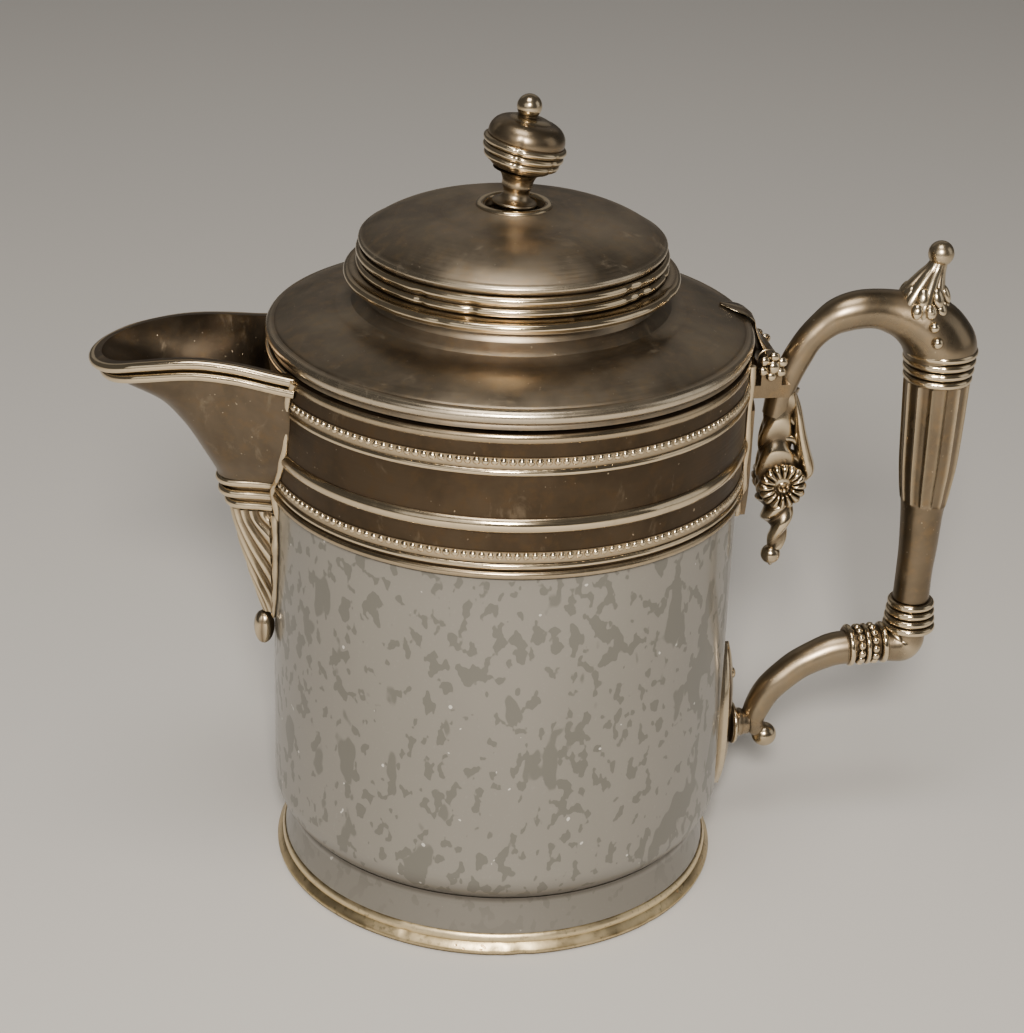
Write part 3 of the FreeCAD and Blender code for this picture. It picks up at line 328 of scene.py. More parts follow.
class Form:
    """Points in millimetres, the faces between them, and how rubbed each point is."""

    def __init__(self):
        self.points = []
        self.crests = []
        self.faces = []
        self.count = 0

    def add(self, points, faces, crests):
        self.points.append(np.asarray(points, float).reshape(-1, 3))
        self.crests.append(np.asarray(crests, float).reshape(-1))
        self.faces.extend([tuple(int(i) + self.count for i in face) for face in faces])
        self.count += len(self.points[-1])

    def grid(self, points, crests, ring=False, loop=False):
        """A sheet of rows; ring joins each row's ends, loop joins the first row to the last.

        A sheet that is joined one way only has its two open ends capped."""
        points = np.asarray(points, float)
        rows, columns = points.shape[:2]
        index = np.arange(rows * columns).reshape(rows, columns)
        if ring:
            index = np.concatenate([index, index[:, :1]], axis=1)
        closed = np.concatenate([index, index[:1]], axis=0) if loop else index
        corners = [closed[:-1, :-1], closed[:-1, 1:], closed[1:, 1:], closed[1:, :-1]]
        faces = [tuple(face) for face in np.stack(corners, axis=-1).reshape(-1, 4)]
        if ring and not loop:
            faces.append(tuple(index[0, :-1][::-1]))
            faces.append(tuple(index[-1, :-1]))
        if loop and not ring:
            faces.append(tuple(index[:, 0]))
            faces.append(tuple(index[::-1, -1]))
        self.add(points, faces, crests)
        return self

    def turn(self, outline, start=0.0, end=TURN, steps=FULL_STEPS, warp=None):
        """Turns a closed outline of (radius, height, crest) about the jug's axis."""
        outline = np.asarray(outline, float)
        full = abs(end - start - TURN) < TINY
        angles = np.linspace(start, end, steps, endpoint=not full)
        radius = outline[:, 0][:, None] * np.ones(len(angles))[None, :]
        height = outline[:, 1][:, None] * np.ones(len(angles))[None, :]
        if warp:
            radius, height = warp(radius, height, angles[None, :])
        points = np.stack([radius * np.cos(angles), radius * np.sin(angles), height], axis=-1)
        crests = np.repeat(outline[:, 2][:, None], len(angles), axis=1)
        return self.grid(points, crests, ring=full, loop=True)

    def sweep(self, centres, radii, shape=None, around=36, crests=0.0, flat=1.0, reference=(0, 1, 0)):
        """A tube along centres; shape(angle, share) scales its radius and rubs its crests.

        Angle 0 points along reference crossed with the path, and flat widens the tube along reference."""
        centres = np.asarray(centres, float)
        along = np.gradient(centres, axis=0)
        along /= np.linalg.norm(along, axis=1)[:, None]
        out = np.cross(np.asarray(reference, float), along)
        out /= np.linalg.norm(out, axis=1)[:, None]
        side = np.cross(along, out)
        angles = round_angles(around)
        share = np.linspace(0.0, 1.0, len(centres))[:, None]
        scale, rubbed = shape(angles[None, :], share) if shape else (1.0, crests)
        size = np.asarray(radii, float)[:, None] * scale * np.ones((len(centres), around))
        rubbed = rubbed * np.ones((len(centres), around))
        round_part = np.cos(angles)[None, :, None] * out[:, None, :]
        wide_part = flat * np.sin(angles)[None, :, None] * side[:, None, :]
        points = centres[:, None, :] + size[..., None] * (round_part + wide_part)
        return self.grid(points, rubbed, ring=True)

    def bar(self, stations, count, shape=None, **settings):
        """A tube in the handle's plane, through (reach, height, radius) stations."""
        run = smooth_path(stations, count)
        centres = np.stack([run[:, 0], np.zeros(count), run[:, 1]], axis=1)
        return self.sweep(centres, run[:, 2], shape, **settings)

    def ball(self, centre, radius, rows=20, columns=28, stretch=(1.0, 1.0, 1.0), crest=0.6):
        polar = np.linspace(POLE_GAP, math.pi - POLE_GAP, rows)[:, None]
        turn = round_angles(columns)[None, :]
        level = -np.cos(polar) + 0 * turn
        unit = np.stack([np.sin(polar) * np.cos(turn), np.sin(polar) * np.sin(turn), level], axis=-1)
        points = np.asarray(centre) + radius * unit * np.asarray(stretch)
        return self.grid(points, np.full(points.shape[:2], crest), ring=True)

    def lean(self, pivot, degrees):
        """Tilts everything so far about a level axis through pivot, towards the handle."""
        c, s = math.cos(math.radians(degrees)), math.sin(math.radians(degrees))
        matrix = np.array([[c, 0, s], [0, 1, 0], [-s, 0, c]])
        self.points = [(points - pivot) @ matrix.T + pivot for points in self.points]
        return self

    def turn_by(self, matrix):
        self.points = [points @ np.asarray(matrix).T for points in self.points]
        return self

    def spin(self, angle):
        """Turns everything so far about the upright axis through the origin."""
        c, s = math.cos(angle), math.sin(angle)
        return self.turn_by([[c, -s, 0.0], [s, c, 0.0], [0.0, 0.0, 1.0]])

    def lie(self):
        """Lays the upright axis along Y."""
        return self.turn_by([[1.0, 0.0, 0.0], [0.0, 0.0, 1.0], [0.0, -1.0, 0.0]])

    def shift(self, offset):
        self.points = [points + np.asarray(offset, float) for points in self.points]
        return self

    def join(self, other):
        self.add(np.concatenate(other.points), other.faces, np.concatenate(other.crests))
        return self

    def piece(self, name, slot, nodes, body="root", sharp=38.0):
        """Makes the Blender object, gives it its finish and lets it stand for its CAD nodes."""
        mesh = bpy.data.meshes.new(name)
        points = np.concatenate(self.points) * MM
        mesh.from_pydata(points.tolist(), [], self.faces)
        layer = mesh.attributes.new(CREST, "FLOAT", "POINT")
        layer.data.foreach_set("value", np.clip(np.concatenate(self.crests), 0.0, 1.0).astype(np.float32))
        mesh.shade_smooth()
        mesh.set_sharp_from_angle(angle=math.radians(sharp))
        made = linked(name, mesh)
        mesh.materials.append(FINISHES[slot])
        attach(made, body)
        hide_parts(*nodes)
        return made


STRAIGHT_STEP = 1.5
CORE = 0.3


def profile(knots, step=0.3):
    """Samples the closed outline through knots of (radius, height, bulge, crest).

    The bulge swells the run to the next knot to the right of travel, and mid run is rubbed by crest."""
    samples = []
    for start, end in zip(knots, knots[1:] + knots[:1]):
        radius, height, bulge, crest = (tuple(start) + (0.0, 0.0))[:4]
        run, rise = end[0] - radius, end[1] - height
        chord = math.hypot(run, rise)
        count = max(2 if bulge and crest else 1, round(chord / (step if bulge else STRAIGHT_STEP)))
        half_chord = chord / 2.0
        for index in range(count):
            share = index / count
            along, out = share * chord, 0.0
            if bulge:
                arc = (half_chord * half_chord + bulge * bulge) / (2.0 * abs(bulge))
                swing = math.asin(min(1.0, half_chord / arc)) * (2.0 * share - 1.0)
                along = half_chord + arc * math.sin(swing)
                out = math.copysign(arc * math.cos(swing) - (arc - abs(bulge)), bulge)
            x = radius + (along * run + out * rise) / chord
            z = height + (along * rise - out * run) / chord
            samples.append((x, z, crest * math.sin(math.pi * share) ** 0.6 if share else 0.0))
    return samples


def turned(knots, step, steps=FULL_STEPS, warp=None):
    """A form turned all the way round; CORE is the radius of the hole left in a solid one."""
    return Form().turn(profile(knots, step), steps=steps, warp=warp)


JUST_INSIDE = 0.0001


def smooth_path(stations, count):
    """Catmull-Rom run through stations; every column is eased alike."""
    stations = np.asarray(stations, float)
    padded = np.vstack([2 * stations[0] - stations[1], stations, 2 * stations[-1] - stations[-2]])
    samples = []
    last = len(stations) - 1 - JUST_INSIDE
    for share in np.linspace(0.0, last, count):
        index = int(share)
        t = share - index
        a, b, c, d = padded[index:index + 4]
        samples.append(0.5 * (2 * b + (c - a) * t + (2 * a - 5 * b + 4 * c - d) * t ** 2
                              + (3 * b - a - 3 * c + d) * t ** 3))
    return np.array(samples)


DENT_RADIUS = 40.0


def dents(depth, *places):
    """Warp for turned work: dents at (angle in degrees, height, width) places, and a slight waver."""
    def warp(radius, height, angles):
        moved = 0.03 * np.sin(3 * angles + 0.7) + 0.02 * np.sin(7 * angles + 2.0)
        for angle, level, width in places:
            gap = (angles - math.radians(angle) + math.pi) % TURN - math.pi
            distance = (gap * DENT_RADIUS / width) ** 2 + ((height - level) / width) ** 2
            moved = moved - depth * np.exp(-distance)
        return radius + moved, height
    return warp


UP = (0.0, 0.0, 1.0)
OUTWARD = (-1.0, 0.0, 0.0)
WALL_RADIUS = 41.6
BAND_FOOT = 74.2
EASING = 9
band_radius = span("neck_band")[1][1]


def wall_strips(name, line, way, proud, sizes, crest):
    """Strips on the wall through (half width, level) points, near and far; way -1 is the spout's side."""
    radius = np.where(line[:, 1] > BAND_FOOT, band_radius, WALL_RADIUS) + proud
    radius = np.pad(radius, EASING // 2, mode="edge")
    radius = np.convolve(radius, np.ones(EASING) / EASING, mode="valid")
    x = way * np.sqrt(radius ** 2 - line[:, 0] ** 2)
    for side, which in ((-1.0, "near"), (1.0, "far")):
        centres = np.stack([x, side * line[:, 0], line[:, 1]], axis=1)
        strip = Form().sweep(centres, sizes, around=16, reference=OUTWARD, crests=crest)
        strip.piece(name + "_" + which, "worn_moulding", [], sharp=60.0)


# ---- foot

foot_radius, foot_height = span("foot_band")[1][1:]
skirt_lip = span("foot_skirt")[1][1]

turned([
    (skirt_lip - 1.0, 0.0), (foot_radius - 0.55, 0.0, 0.25, 0.9),
    (foot_radius - 0.05, 1.0, 0.05, 0.5), (skirt_lip + 0.55, foot_height * 0.6, 0.2, 1.0),
    (skirt_lip + 0.1, foot_height, 0.05, 0.5), (skirt_lip - 0.6, foot_height),
], 0.2, steps=360, warp=dents(
    0.28, (262, 1.2, 0.9), (268, 0.8, 1.4), (238, 2.0, 0.6), (305, 1.0, 0.7),
    (140, 0.8, 1.0), (45, 1.5, 0.8),
)).piece("foot_band_rolled", "foot_band_metal", ["foot_band"])

# ---- mouldings on the neck band

SUNK = 0.12
MOULDING_STEPS = 170
PEARL_PITCH = 1.46


def half_spans(node):
    """Start and end angle of the near and the far run of a moulding, from its CAD node's box."""
    low, high = span(node)
    radius = high[1]
    offsets = [math.sqrt(max(radius ** 2 - reach ** 2, 0.0)) for reach in (low[0], high[0])]
    beak_gap, plate_gap = [math.asin(min(1.0, offset / radius)) for offset in offsets]
    return (plate_gap, math.pi - beak_gap), (math.pi + beak_gap, TURN - plate_gap)


def moulding(node, crest, lift=0.0):
    """A wire or fillet as high and as proud as its CAD node; a lifted one springs from a small step."""
    low, high = span(node)
    foot = band_radius + lift
    outline = profile([
        (band_radius - SUNK, low[2]), (foot, low[2], high[1] - band_radius - 0.4 * lift, crest),
        (foot, high[2]), (band_radius - SUNK, high[2]),
    ], 0.14)
    wear = dents(0.06, (250, low[2], 3.0), (300, low[2], 2.0), (100, low[2], 3.0))
    form = Form()
    for start, end in half_spans(node):
        form.turn(outline, start, end, MOULDING_STEPS, wear)
    form.piece(node + "_drawn", "worn_moulding", [node])


def pearl_ring(node):
    """A row of small pearls, each a little different, on the strip that carries them."""
    low, high = span(node)
    level = middle(node)[2]
    pearl = half(node)[2]
    centre = high[1] - pearl
    form = Form()
    for start, end in half_spans(node):
        count = round((end - start) * centre / PEARL_PITCH)
        form.turn(profile([
            (band_radius - SUNK, low[2] - 0.6), (band_radius + 0.22, low[2] - 0.5, 0.03, 0.6),
            (band_radius + 0.16, high[2] - 0.02), (band_radius - SUNK, high[2] + 0.02),
        ]), start, end, MOULDING_STEPS)
        for index in range(count):
            angle = start + (end - start) * (index + 0.5) / count
            size = pearl * 0.93 * (1.0 + rng.uniform(-0.05, 0.05))
            away = centre + rng.uniform(-0.06, 0.02)
            spot = (away * math.cos(angle), away * math.sin(angle), level + rng.uniform(-0.05, 0.05))
            form.ball(spot, size, rows=8, columns=12, crest=1.0)
    form.piece(node + "_pearled", "worn_moulding", [node], sharp=60.0)


moulding("rim_wire", 0.5)
moulding("upper_fillet", 1.0)
moulding("lower_fillet", 1.0)
moulding("lower_roll", 0.45)
moulding("middle_moulding", 1.0, lift=0.05)
pearl_ring("upper_bead_ring")
pearl_ring("lower_bead_ring")

# ---- cover

neck = span("cap_reed_ring")[1][1] - 1.0
waist = neck - 1.0
neck_top = span("cover_shoulder")[1][2]
crown = span("cover_cap")[1][2]
seat = span("finial_seat")[1][1]


def cover_dome():
    """Rolled rim, dome and the cove that rises to the waist."""
    rim = span("cover_shoulder")[1][1]
    bottom = span("cover_shoulder")[0][2]
    skirt = bottom - 0.1
    turned([
        (rim - 1.6, skirt), (rim - 0.95, skirt, 0.05, 0.1), (rim - 1.15, bottom + 0.75, 1.17, 1.0),
        (rim - 1.35, bottom + 3.3, -0.1, 0.0), (rim - 1.8, bottom + 3.5, 0.5, 0.1),
        (waist + 5.6, neck_top - 5.2, -1.25, 0.2), (waist, neck_top - 0.6), (waist, neck_top),
        (waist - 0.9, neck_top), (waist - 0.9, neck_top - 1.0),
        (waist + 4.6, neck_top - 6.1, 0.9), (rim - 2.6, bottom + 2.4, -0.4),
    ], 0.25, warp=dents(
        0.12, (255, 107.0, 6.0), (290, 108.5, 5.0), (200, 105.0, 5.0), (60, 107.0, 6.0), (130, 106.0, 7.0),
    )).piece("cover_dome_spun", "spun_metal", ["cover_shoulder"], "cover")


def cover_collar():
    high = span("cover_collar")[1]
    edge = high[1] + 0.9
    turned([
        (waist - 0.9, neck_top - 0.1), (waist, neck_top - 0.15, -0.3, 0.1),
        (edge - 1.0, neck_top - 0.35, 0.1, 0.5), (edge - 0.85, neck_top - 0.2, 0.85, 1.0),
        (edge - 0.9, neck_top + 1.5, -0.15, 0.4), (neck + 0.75, high[2] - 0.1),
        (waist - 0.9, high[2]),
    ], 0.15, warp=dents(
        0.25, (236, 114.5, 2.0), (284, 114.5, 1.5), (330, 114.5, 2.0), (80, 114.5, 2.2),
    )).piece("cover_collar_turned", "worn_moulding", ["cover_collar"], "cover")


def cap_reeds():
    """Two reeds under the cap, dented all round."""
    low, high = span("cap_reed_ring")
    root = high[1] - 0.75
    pitch = (high[2] - low[2]) / 2.0
    turned([
        (neck - 0.6, low[2]), (root, low[2], 0.72, 1.0), (root, low[2] + pitch * 0.92),
        (root, low[2] + pitch * 1.05, 0.72, 1.0), (root, high[2] - 0.08), (neck - 0.6, high[2]),
    ], 0.12, steps=360, warp=dents(
        0.45, (246, 116.0, 1.5), (309, 117.3, 2.4), (316, 116.0, 2.6), (226, 116.2, 1.3),
        (338, 116.2, 1.1), (18, 117.0, 1.0), (96, 116.0, 1.4), (160, 117.0, 1.0),
    )).piece("cap_reeds_turned", "worn_moulding", ["cap_reed_ring"], "cover")


def cap():
    """Low dome with a rolled edge, flaring up into the finial's seat."""
    low, high = span("cover_cap")
    edge = high[1] - 0.45
    turned([
        (neck - 0.6, low[2]), (edge - 0.6, low[2], 0.1, 0.2),
        (edge - 0.15, low[2] + 0.35, 0.5, 0.9), (edge - 0.55, low[2] + 1.75, 1.25, 0.12),
        (seat + 5.6, crown - 1.0, -0.5, 0.1), (seat - 0.5, crown + 0.45), (seat - 2.0, crown + 0.3),
        (seat - 2.0, crown - 0.85), (seat + 5.4, crown - 1.9, 0.4), (neck - 0.7, low[2] + 0.9),
    ], 0.3, warp=dents(
        0.1, (240, 122.0, 3.0), (300, 121.0, 4.0), (100, 121.5, 4.0),
    )).piece("cap_spun", "spun_metal", ["cover_cap"], "cover")


def finial_ring():
    turned([
        (seat - 2.0, crown - 0.1), (seat - 0.45, crown - 0.1),
        (seat - 0.4, crown + 0.35, 0.62, 1.0), (seat - 1.9, crown + 0.35),
    ], 0.1).piece("finial_ring_turned", "worn_moulding", ["finial_seat"], "cover")


cover_dome()
cover_collar()
cap_reeds()
cap()
finial_ring()

# ---- finial

FINIAL_LEAN = 7.0
KNOB_TILT = 5.0
BUN_FLATTEN = 0.93
BUN_RADIUS = 7.5
base = crown + 0.75
equator = base + 10.6
finial_pivot = np.array([0.0, 0.0, base])


def finial_bun():
    """Reeded bun, a little askew on its stem."""
    bun = turned([
        (CORE, equator - 4.9), (4.2, equator - 4.9, 0.3, 0.2), (5.7, equator - 3.85, 0.68, 1.0),
        (6.3, equator - 2.4, 0.7, 1.0), (6.6, equator - 0.95, 0.72, 1.0),
        (6.7, equator + 0.5, -0.05, 0.0), (6.75, equator + 0.7, 0.95, 0.1),
        (3.9, equator + 4.3, 0.22, 0.6), (1.6, equator + 4.85, -0.3, 0.2), (1.05, equator + 5.7),
        (CORE, equator + 5.7),
    ], 0.14, steps=160, warp=dents(
        0.35, (250, equator - 1.8, 3.0), (310, equator - 3.0, 2.5), (90, equator - 2.0, 3.0)))
    wider = half("finial_knob")[1] / BUN_RADIUS
    centre = [0.0, 0.0, equator]
    bun.points = [(points - centre) * [wider, wider, BUN_FLATTEN] + centre for points in bun.points]
    return bun.lean(np.array([0.0, 0.0, equator - 3.0]), KNOB_TILT)


def finial():
    """Spool foot and stem under the bun, leaning towards the handle."""
    stem = turned([
        (CORE, base - 0.35), (3.5, base - 0.35, 0.3, 0.7),
        (3.7, base + 0.4, -0.9, 0.3), (2.7, base + 3.0, -0.08, 0.4),
        (2.8, base + 4.3, -0.35, 0.3), (4.6, base + 5.9), (CORE, base + 5.9),
    ], 0.15, steps=120)
    stem.join(finial_bun()).lean(finial_pivot, FINIAL_LEAN)
    stem.piece("finial_cast", "cast_metal", ["finial_knob"], "cover")


def finial_ball():
    """Ball on a short neck, leaning with the finial."""
    tip = middle("finial_tip")
    tip_radius = half("finial_tip")[1]
    level = base + math.hypot(tip[0], tip[2] - base)
    ball = Form().ball((0.0, 0.0, level), tip_radius, crest=0.7)
    ball.join(turned([
        (0.2, equator + 4.9), (1.6, equator + 4.9, -0.3, 0.5), (0.95, level - tip_radius + 0.4),
        (0.2, level - tip_radius + 0.4),
    ], 0.2, steps=48)).lean(finial_pivot, FINIAL_LEAN)
    ball.piece("finial_ball_cast", "cast_metal", ["finial_tip"], "cover")


finial()
finial_ball()

# ---- spout

# Outer form of the beak: (height over its root, front reach, half width).
BEAK_ROOT = 77.6
BEAK_START = 42.0
BEAK_STATIONS = [
    (-0.4, 51.4, 5.8), (3.0, 52.5, 8.9), (6.4, 54.4, 11.2), (10.0, 56.5, 12.5), (13.6, 59.2, 13.2),
    (17.0, 63.0, 13.7), (19.6, 68.0, 14.1), (22.2, 71.6, 14.4), (27.4, 72.9, 14.8),
]
beak_run = smooth_path(BEAK_STATIONS, 400)
# The beak's rim: (reach, height).
RIM_LEVEL = 101.3
rim_run = smooth_path([
    (36.0, RIM_LEVEL), (42.0, RIM_LEVEL + 0.6), (49.0, RIM_LEVEL + 1.8), (56.0, RIM_LEVEL + 2.3),
    (64.0, RIM_LEVEL + 1.5), (70.0, RIM_LEVEL + 0.2), (76.0, RIM_LEVEL - 1.0),
], 200)
REED_END = (2.9, -0.9, -0.45), (2.9, 0.9, -0.45)
RIM_SETTLING = 6


def plan_width(along):
    """Share of the half width left at a share of the way out to the nose."""
    return (0.68 + 0.32 * (1.0 - along) ** 2.2) * np.sqrt(np.maximum(1.0 - along ** 6, 0.0))


def beak_plan(reach, half_width, sweep, proud=0.0):
    """Plan points from the near root (sweep -1) round the nose (0) to the far root (1)."""
    along = 1.0 - np.abs(sweep) ** 1.6
    x = -(BEAK_START + (reach + proud - BEAK_START) * along)
    y = np.sign(sweep) * (half_width + proud) * plan_width(along)
    return x, y


def beak_row(reach, half_width, sweep, level, proud=0.0):
    """A level row of points round the beak's plan."""
    x, y = beak_plan(reach, half_width, sweep, proud)
    return np.stack([x, y, np.full(len(x), level)], axis=1)


def rim_line(drop, proud):
    """Centres of a reed that follows the rim, drop millimetres under it."""
    sweep = np.linspace(-1.0, 1.0, 220)
    level = np.full(len(sweep), RIM_LEVEL)
    for _ in range(RIM_SETTLING):
        reach = np.interp(level - BEAK_ROOT, beak_run[:, 0], beak_run[:, 1])
        half_width = np.interp(level - BEAK_ROOT, beak_run[:, 0], beak_run[:, 2])
        x, y = beak_plan(reach, half_width, sweep, proud)
        level = np.interp(-x, rim_run[:, 0], rim_run[:, 1]) - drop
    line = np.stack([x, y, level], axis=1)
    ends = line[[0, -1]] + REED_END
    return np.concatenate([ends[:1], line, ends[1:]])


def spout_reeds():
    """Two reeds along the beak's rim."""
    strip = Form()
    for drop, proud in ((0.85, 0.28), (2.95, 0.24)):
        line = rim_line(drop, proud)
        strip.sweep(line, np.full(len(line), 0.86), around=20, reference=UP, crests=1.0)
    strip.piece("spout_reeds_drawn", "worn_moulding", ["spout_rim_reeds"], sharp=60.0)


def spout_knop():
    """Three reeds round a core, under the beak."""
    low, high = span("spout_knop")
    sweep = np.linspace(-1.0, 1.0, 120)
    knop = Form()
    for level, reach, half_width in ((77.25, 51.9, 5.9), (75.0, 51.5, 5.7), (72.85, 50.4, 5.5)):
        row = beak_row(reach - 0.95, half_width - 0.95, sweep, level)
        knop.sweep(row, np.full(len(row), 0.88), around=18, reference=UP, crests=1.0)
    levels = np.linspace(low[2] + 0.3, high[2] - 0.1, 8)
    core = [beak_row(np.interp(level, [72.0, 78.0], [49.3, 50.9]), 4.8, sweep, level) for level in levels]
    knop.grid(core, np.zeros((len(levels), len(sweep))), ring=True)
    knop.piece("spout_knop_reeded", "worn_moulding", ["spout_knop"], sharp=60.0)


def spout_drop():
    """Fluted drop: ribs that fall from under the knop and sweep back to the edge on the wall."""
    stations = smooth_path([
        (71.75, 49.5, 5.0), (68.0, 48.8, 5.05), (62.5, 47.4, 4.6), (56.5, 45.7, 3.5),
        (50.6, 43.9, 1.9),
    ], 150)
    sweep = np.linspace(-1.0, 1.0, 221)
    edge = np.abs(sweep)
    border = np.clip((edge - 0.93) / 0.05, 0.0, 1.0)
    rows, crests = [], []
    for index, (level, reach, half_width) in enumerate(stations):
        down = index / (len(stations) - 1.0)
        left = 1.0 - edge
        rib = 0.5 * (left + np.sqrt(left ** 2 + 4.0 * (down / 0.95) ** 2)) * 5.2
        ridge = (0.5 + 0.5 * np.cos(TURN * rib)) ** 0.8
        ridge = np.maximum(ridge * (1.0 - border), border)
        fade = min(1.0, (1.02 - down) * 4.0)
        rows.append(beak_row(reach, half_width, sweep, level, -0.62 * (1.0 - ridge) * fade))
        crests.append(ridge)
    drop = Form().grid(rows[::-1], np.array(crests[::-1]), ring=True)
    wave = 1.0 + 0.16 * np.sin(np.linspace(0.0, 9.0 * math.pi, 60))
    for side in (-1.0, 1.0):
        line = smooth_path([
            (-41.7, side * 5.3, 71.6, 0.75), (-41.6, side * 5.5, 66.0, 0.8),
            (-41.6, side * 4.9, 60.0, 0.7), (-41.7, side * 3.4, 54.0, 0.6),
            (-41.9, side * 1.4, 49.6, 0.4),
        ], 60)
        drop.sweep(line[:, :3], line[:, 3] * wave, around=14, reference=OUTWARD, crests=0.8)
    drop.piece("spout_drop_fluted", "cast_metal", ["spout_drop"], sharp=60.0)


def spout_bud():
    """Bud with five soft lobes at the foot of the drop."""
    centre = middle("spout_bud")
    wide, tall = half("spout_bud")[1:]
    polar = np.linspace(0.03, math.pi - 0.03, 40)[:, None]
    turn = round_angles(60)[None, :]
    lobes = 1.0 + 0.1 * np.abs(np.cos(2.5 * turn)) * np.sin(polar) - 0.05
    reach = wide * lobes * np.sin(polar) ** 0.9
    points = np.stack([
        centre[0] + reach * np.cos(turn),
        centre[1] + reach * np.sin(turn),
        centre[2] + 0.0 * turn - tall * np.cos(polar) * (0.93 + 0.07 * np.cos(polar)),
    ], axis=-1)
    bud = Form().grid(points, np.clip((lobes - 0.95) * 9.0, 0.0, 1.0), ring=True)
    bud.piece("spout_bud_lobed", "cast_metal", ["spout_bud"], sharp=70.0)


def mouth_rim():
    """Edge of the band across the mouth of the beak."""
    turn = np.linspace(math.pi - 0.4, math.pi + 0.4, 60)
    level = np.full(len(turn), RIM_LEVEL - 0.35)
    edge = np.stack([band_radius * np.cos(turn), band_radius * np.sin(turn), level], axis=1)
    rim = Form().sweep(edge, np.full(len(turn), 0.5), around=14, reference=UP, crests=0.9)
    rim.piece("mouth_rim_drawn", "worn_moulding", [], sharp=60.0)


def spout_border():
    """Solder border where the beak meets the band: half width at each height."""
    line = smooth_path([
        (16.2, 101.0), (14.6, 98.6), (13.5, 95.0), (13.0, 90.5), (12.3, 86.6), (10.9, 83.4),
        (8.9, 80.2), (7.0, 78.2), (5.9, 76.2), (5.6, 73.0), (5.5, 70.6),
    ], 90)
    sizes = 0.78 + 0.12 * np.sin(np.linspace(0.0, 17.0, 90)) + 0.05 * np.sin(np.linspace(1.0, 43.0, 90))
    wall_strips("spout_border", line, -1.0, 0.1, sizes, 0.95)


spout_reeds()
spout_knop()
spout_drop()
spout_bud()
mouth_rim()
spout_border()

# ---- handle


def fluted(flutes, deep, stop):
    """Shape for the grip: concave flutes above the share stop, running out into a smooth shank."""
    def shape(angle, share):
        arris = np.abs(np.cos(flutes / 2.0 * angle))
        cover = 1.0 / (1.0 + np.exp((share - stop) / 0.012))
        hollow = (1.0 - (1.0 - arris) ** 2.2) * cover
        return 1.0 - deep * hollow, np.clip((1.0 - arris) ** 2, 0.0, 1.0) * cover * 0.5
    return shape


def twisted(strands, turns, deep):
    """Shape of a rope of strands that makes so many turns over its length."""
    def shape(angle, share):
        ridge = 0.5 + 0.5 * np.cos(strands * angle - TURN * turns * share)
        return 1.0 - deep * (1.0 - ridge ** 0.8), ridge
    return shape


def uneven(waves, swing, depth, crest):
    """Shape of a plain cast arm, a little uneven along its length."""
    def shape(angle, share):
        return 1.0 + depth * np.sin(waves * share + swing * angle), crest
    return shape


def mitre(angle, share):
    """Swells the outer side of the lower elbow into a blunt corner."""
    corner = np.exp(-((share - 0.5) / 0.17) ** 2)
    return 1.0 + 0.3 * corner * np.clip(np.cos(angle), 0.0, 1.0) ** 2, 0.15 + 0.5 * corner


def ribbed(angle, share):
    """Ribs of the thumb leaf's spike, shallower towards its tip."""
    rib = np.abs(np.cos(4.0 * angle + 0.4)) ** 0.7
    deep = 0.26 * np.clip(1.15 - share, 0.0, 1.0)
    return 1.0 - deep * (1.0 - rib), rib


def acanthus(angle, share):
    """Slanting grooves of the scroll stem."""
    ridge = 0.5 + 0.5 * np.cos(5.0 * share * TURN + 2.0 * np.abs(np.sin(angle)) * 2.4)
    return 1.0 - 0.17 * (1.0 - ridge), ridge * 0.9


def grip():
    low, high = span("grip")
    axis = middle("grip")[0]
    Form().bar([
        (axis, high[2], 6.1), (axis + 0.05, 82.0, 5.75), (axis + 0.05, 75.0, 5.4),
        (axis, 70.8, 4.95), (axis, 67.6, 4.5), (axis - 0.1, 65.2, 4.0), (axis - 0.1, 58.0, 3.62),
        (axis - 0.3, 52.6, 3.42), (axis - 0.4, low[2], 3.45),
    ], 150, fluted(14, 0.085, 0.53), around=168).piece("grip_fluted", "cast_metal", ["grip"], sharp=50.0)


def ferrule(node, first_crest, last_crest, core, steps, warp=None):
    """Four rounded rings, their crests growing from one radius to the other."""
    low, high = span(node)
    knots = [(CORE, low[2])]
    pitch = (high[2] - low[2]) / 4
    for index in range(4):
        root = first_crest + (last_crest - first_crest) * index / 3 - core
        knots += [(root, low[2] + pitch * index + 0.02, core, 1.0), (root, low[2] + pitch * (index + 0.9))]
    knots.append((CORE, high[2]))
    rings = turned(knots, 0.13, steps, warp).shift((middle(node)[0], 0.0, 0.0))
    rings.piece(node + "_ringed", "worn_moulding", [node])


def upper_arm():
    """Gooseneck from the hinge bracket to the grip, with a swelling elbow."""
    Form().bar([
        (49.2, 85.4, 2.3), (49.9, 89.6, 2.5), (51.2, 93.2, 2.55), (52.7, 96.6, 2.6),
        (54.4, 99.6, 2.55), (56.9, 102.2, 2.75), (59.6, 104.1, 3.25), (62.9, 105.0, 3.5),
        (67.0, 105.1, 3.65), (71.0, 104.2, 4.3), (74.6, 102.6, 5.5), (77.3, 100.5, 6.3),
        (78.9, 98.2, 6.6), (79.3, 96.6, 6.6),
    ], 150, uneven(31, 1, 0.012, 0.12), around=64).piece(
        "upper_arm_cast", "cast_metal", ["upper_arm"], sharp=70.0)


def elbow_pearls():
    """Three graduated pearls on each cheek of the elbow."""
    places = (74.9, 4.55, 106.0, 0.95), (75.7, 5.45, 103.3, 1.05), (76.4, 6.0, 100.5, 1.1)
    pearls = Form()
    for side in (-1.0, 1.0):
        for x, out, z, size in places:
            pearls.ball((x, side * out, z), size, rows=14, columns=20, crest=1.0)
    pearls.piece("elbow_pearls", "cast_metal", [], sharp=70.0)


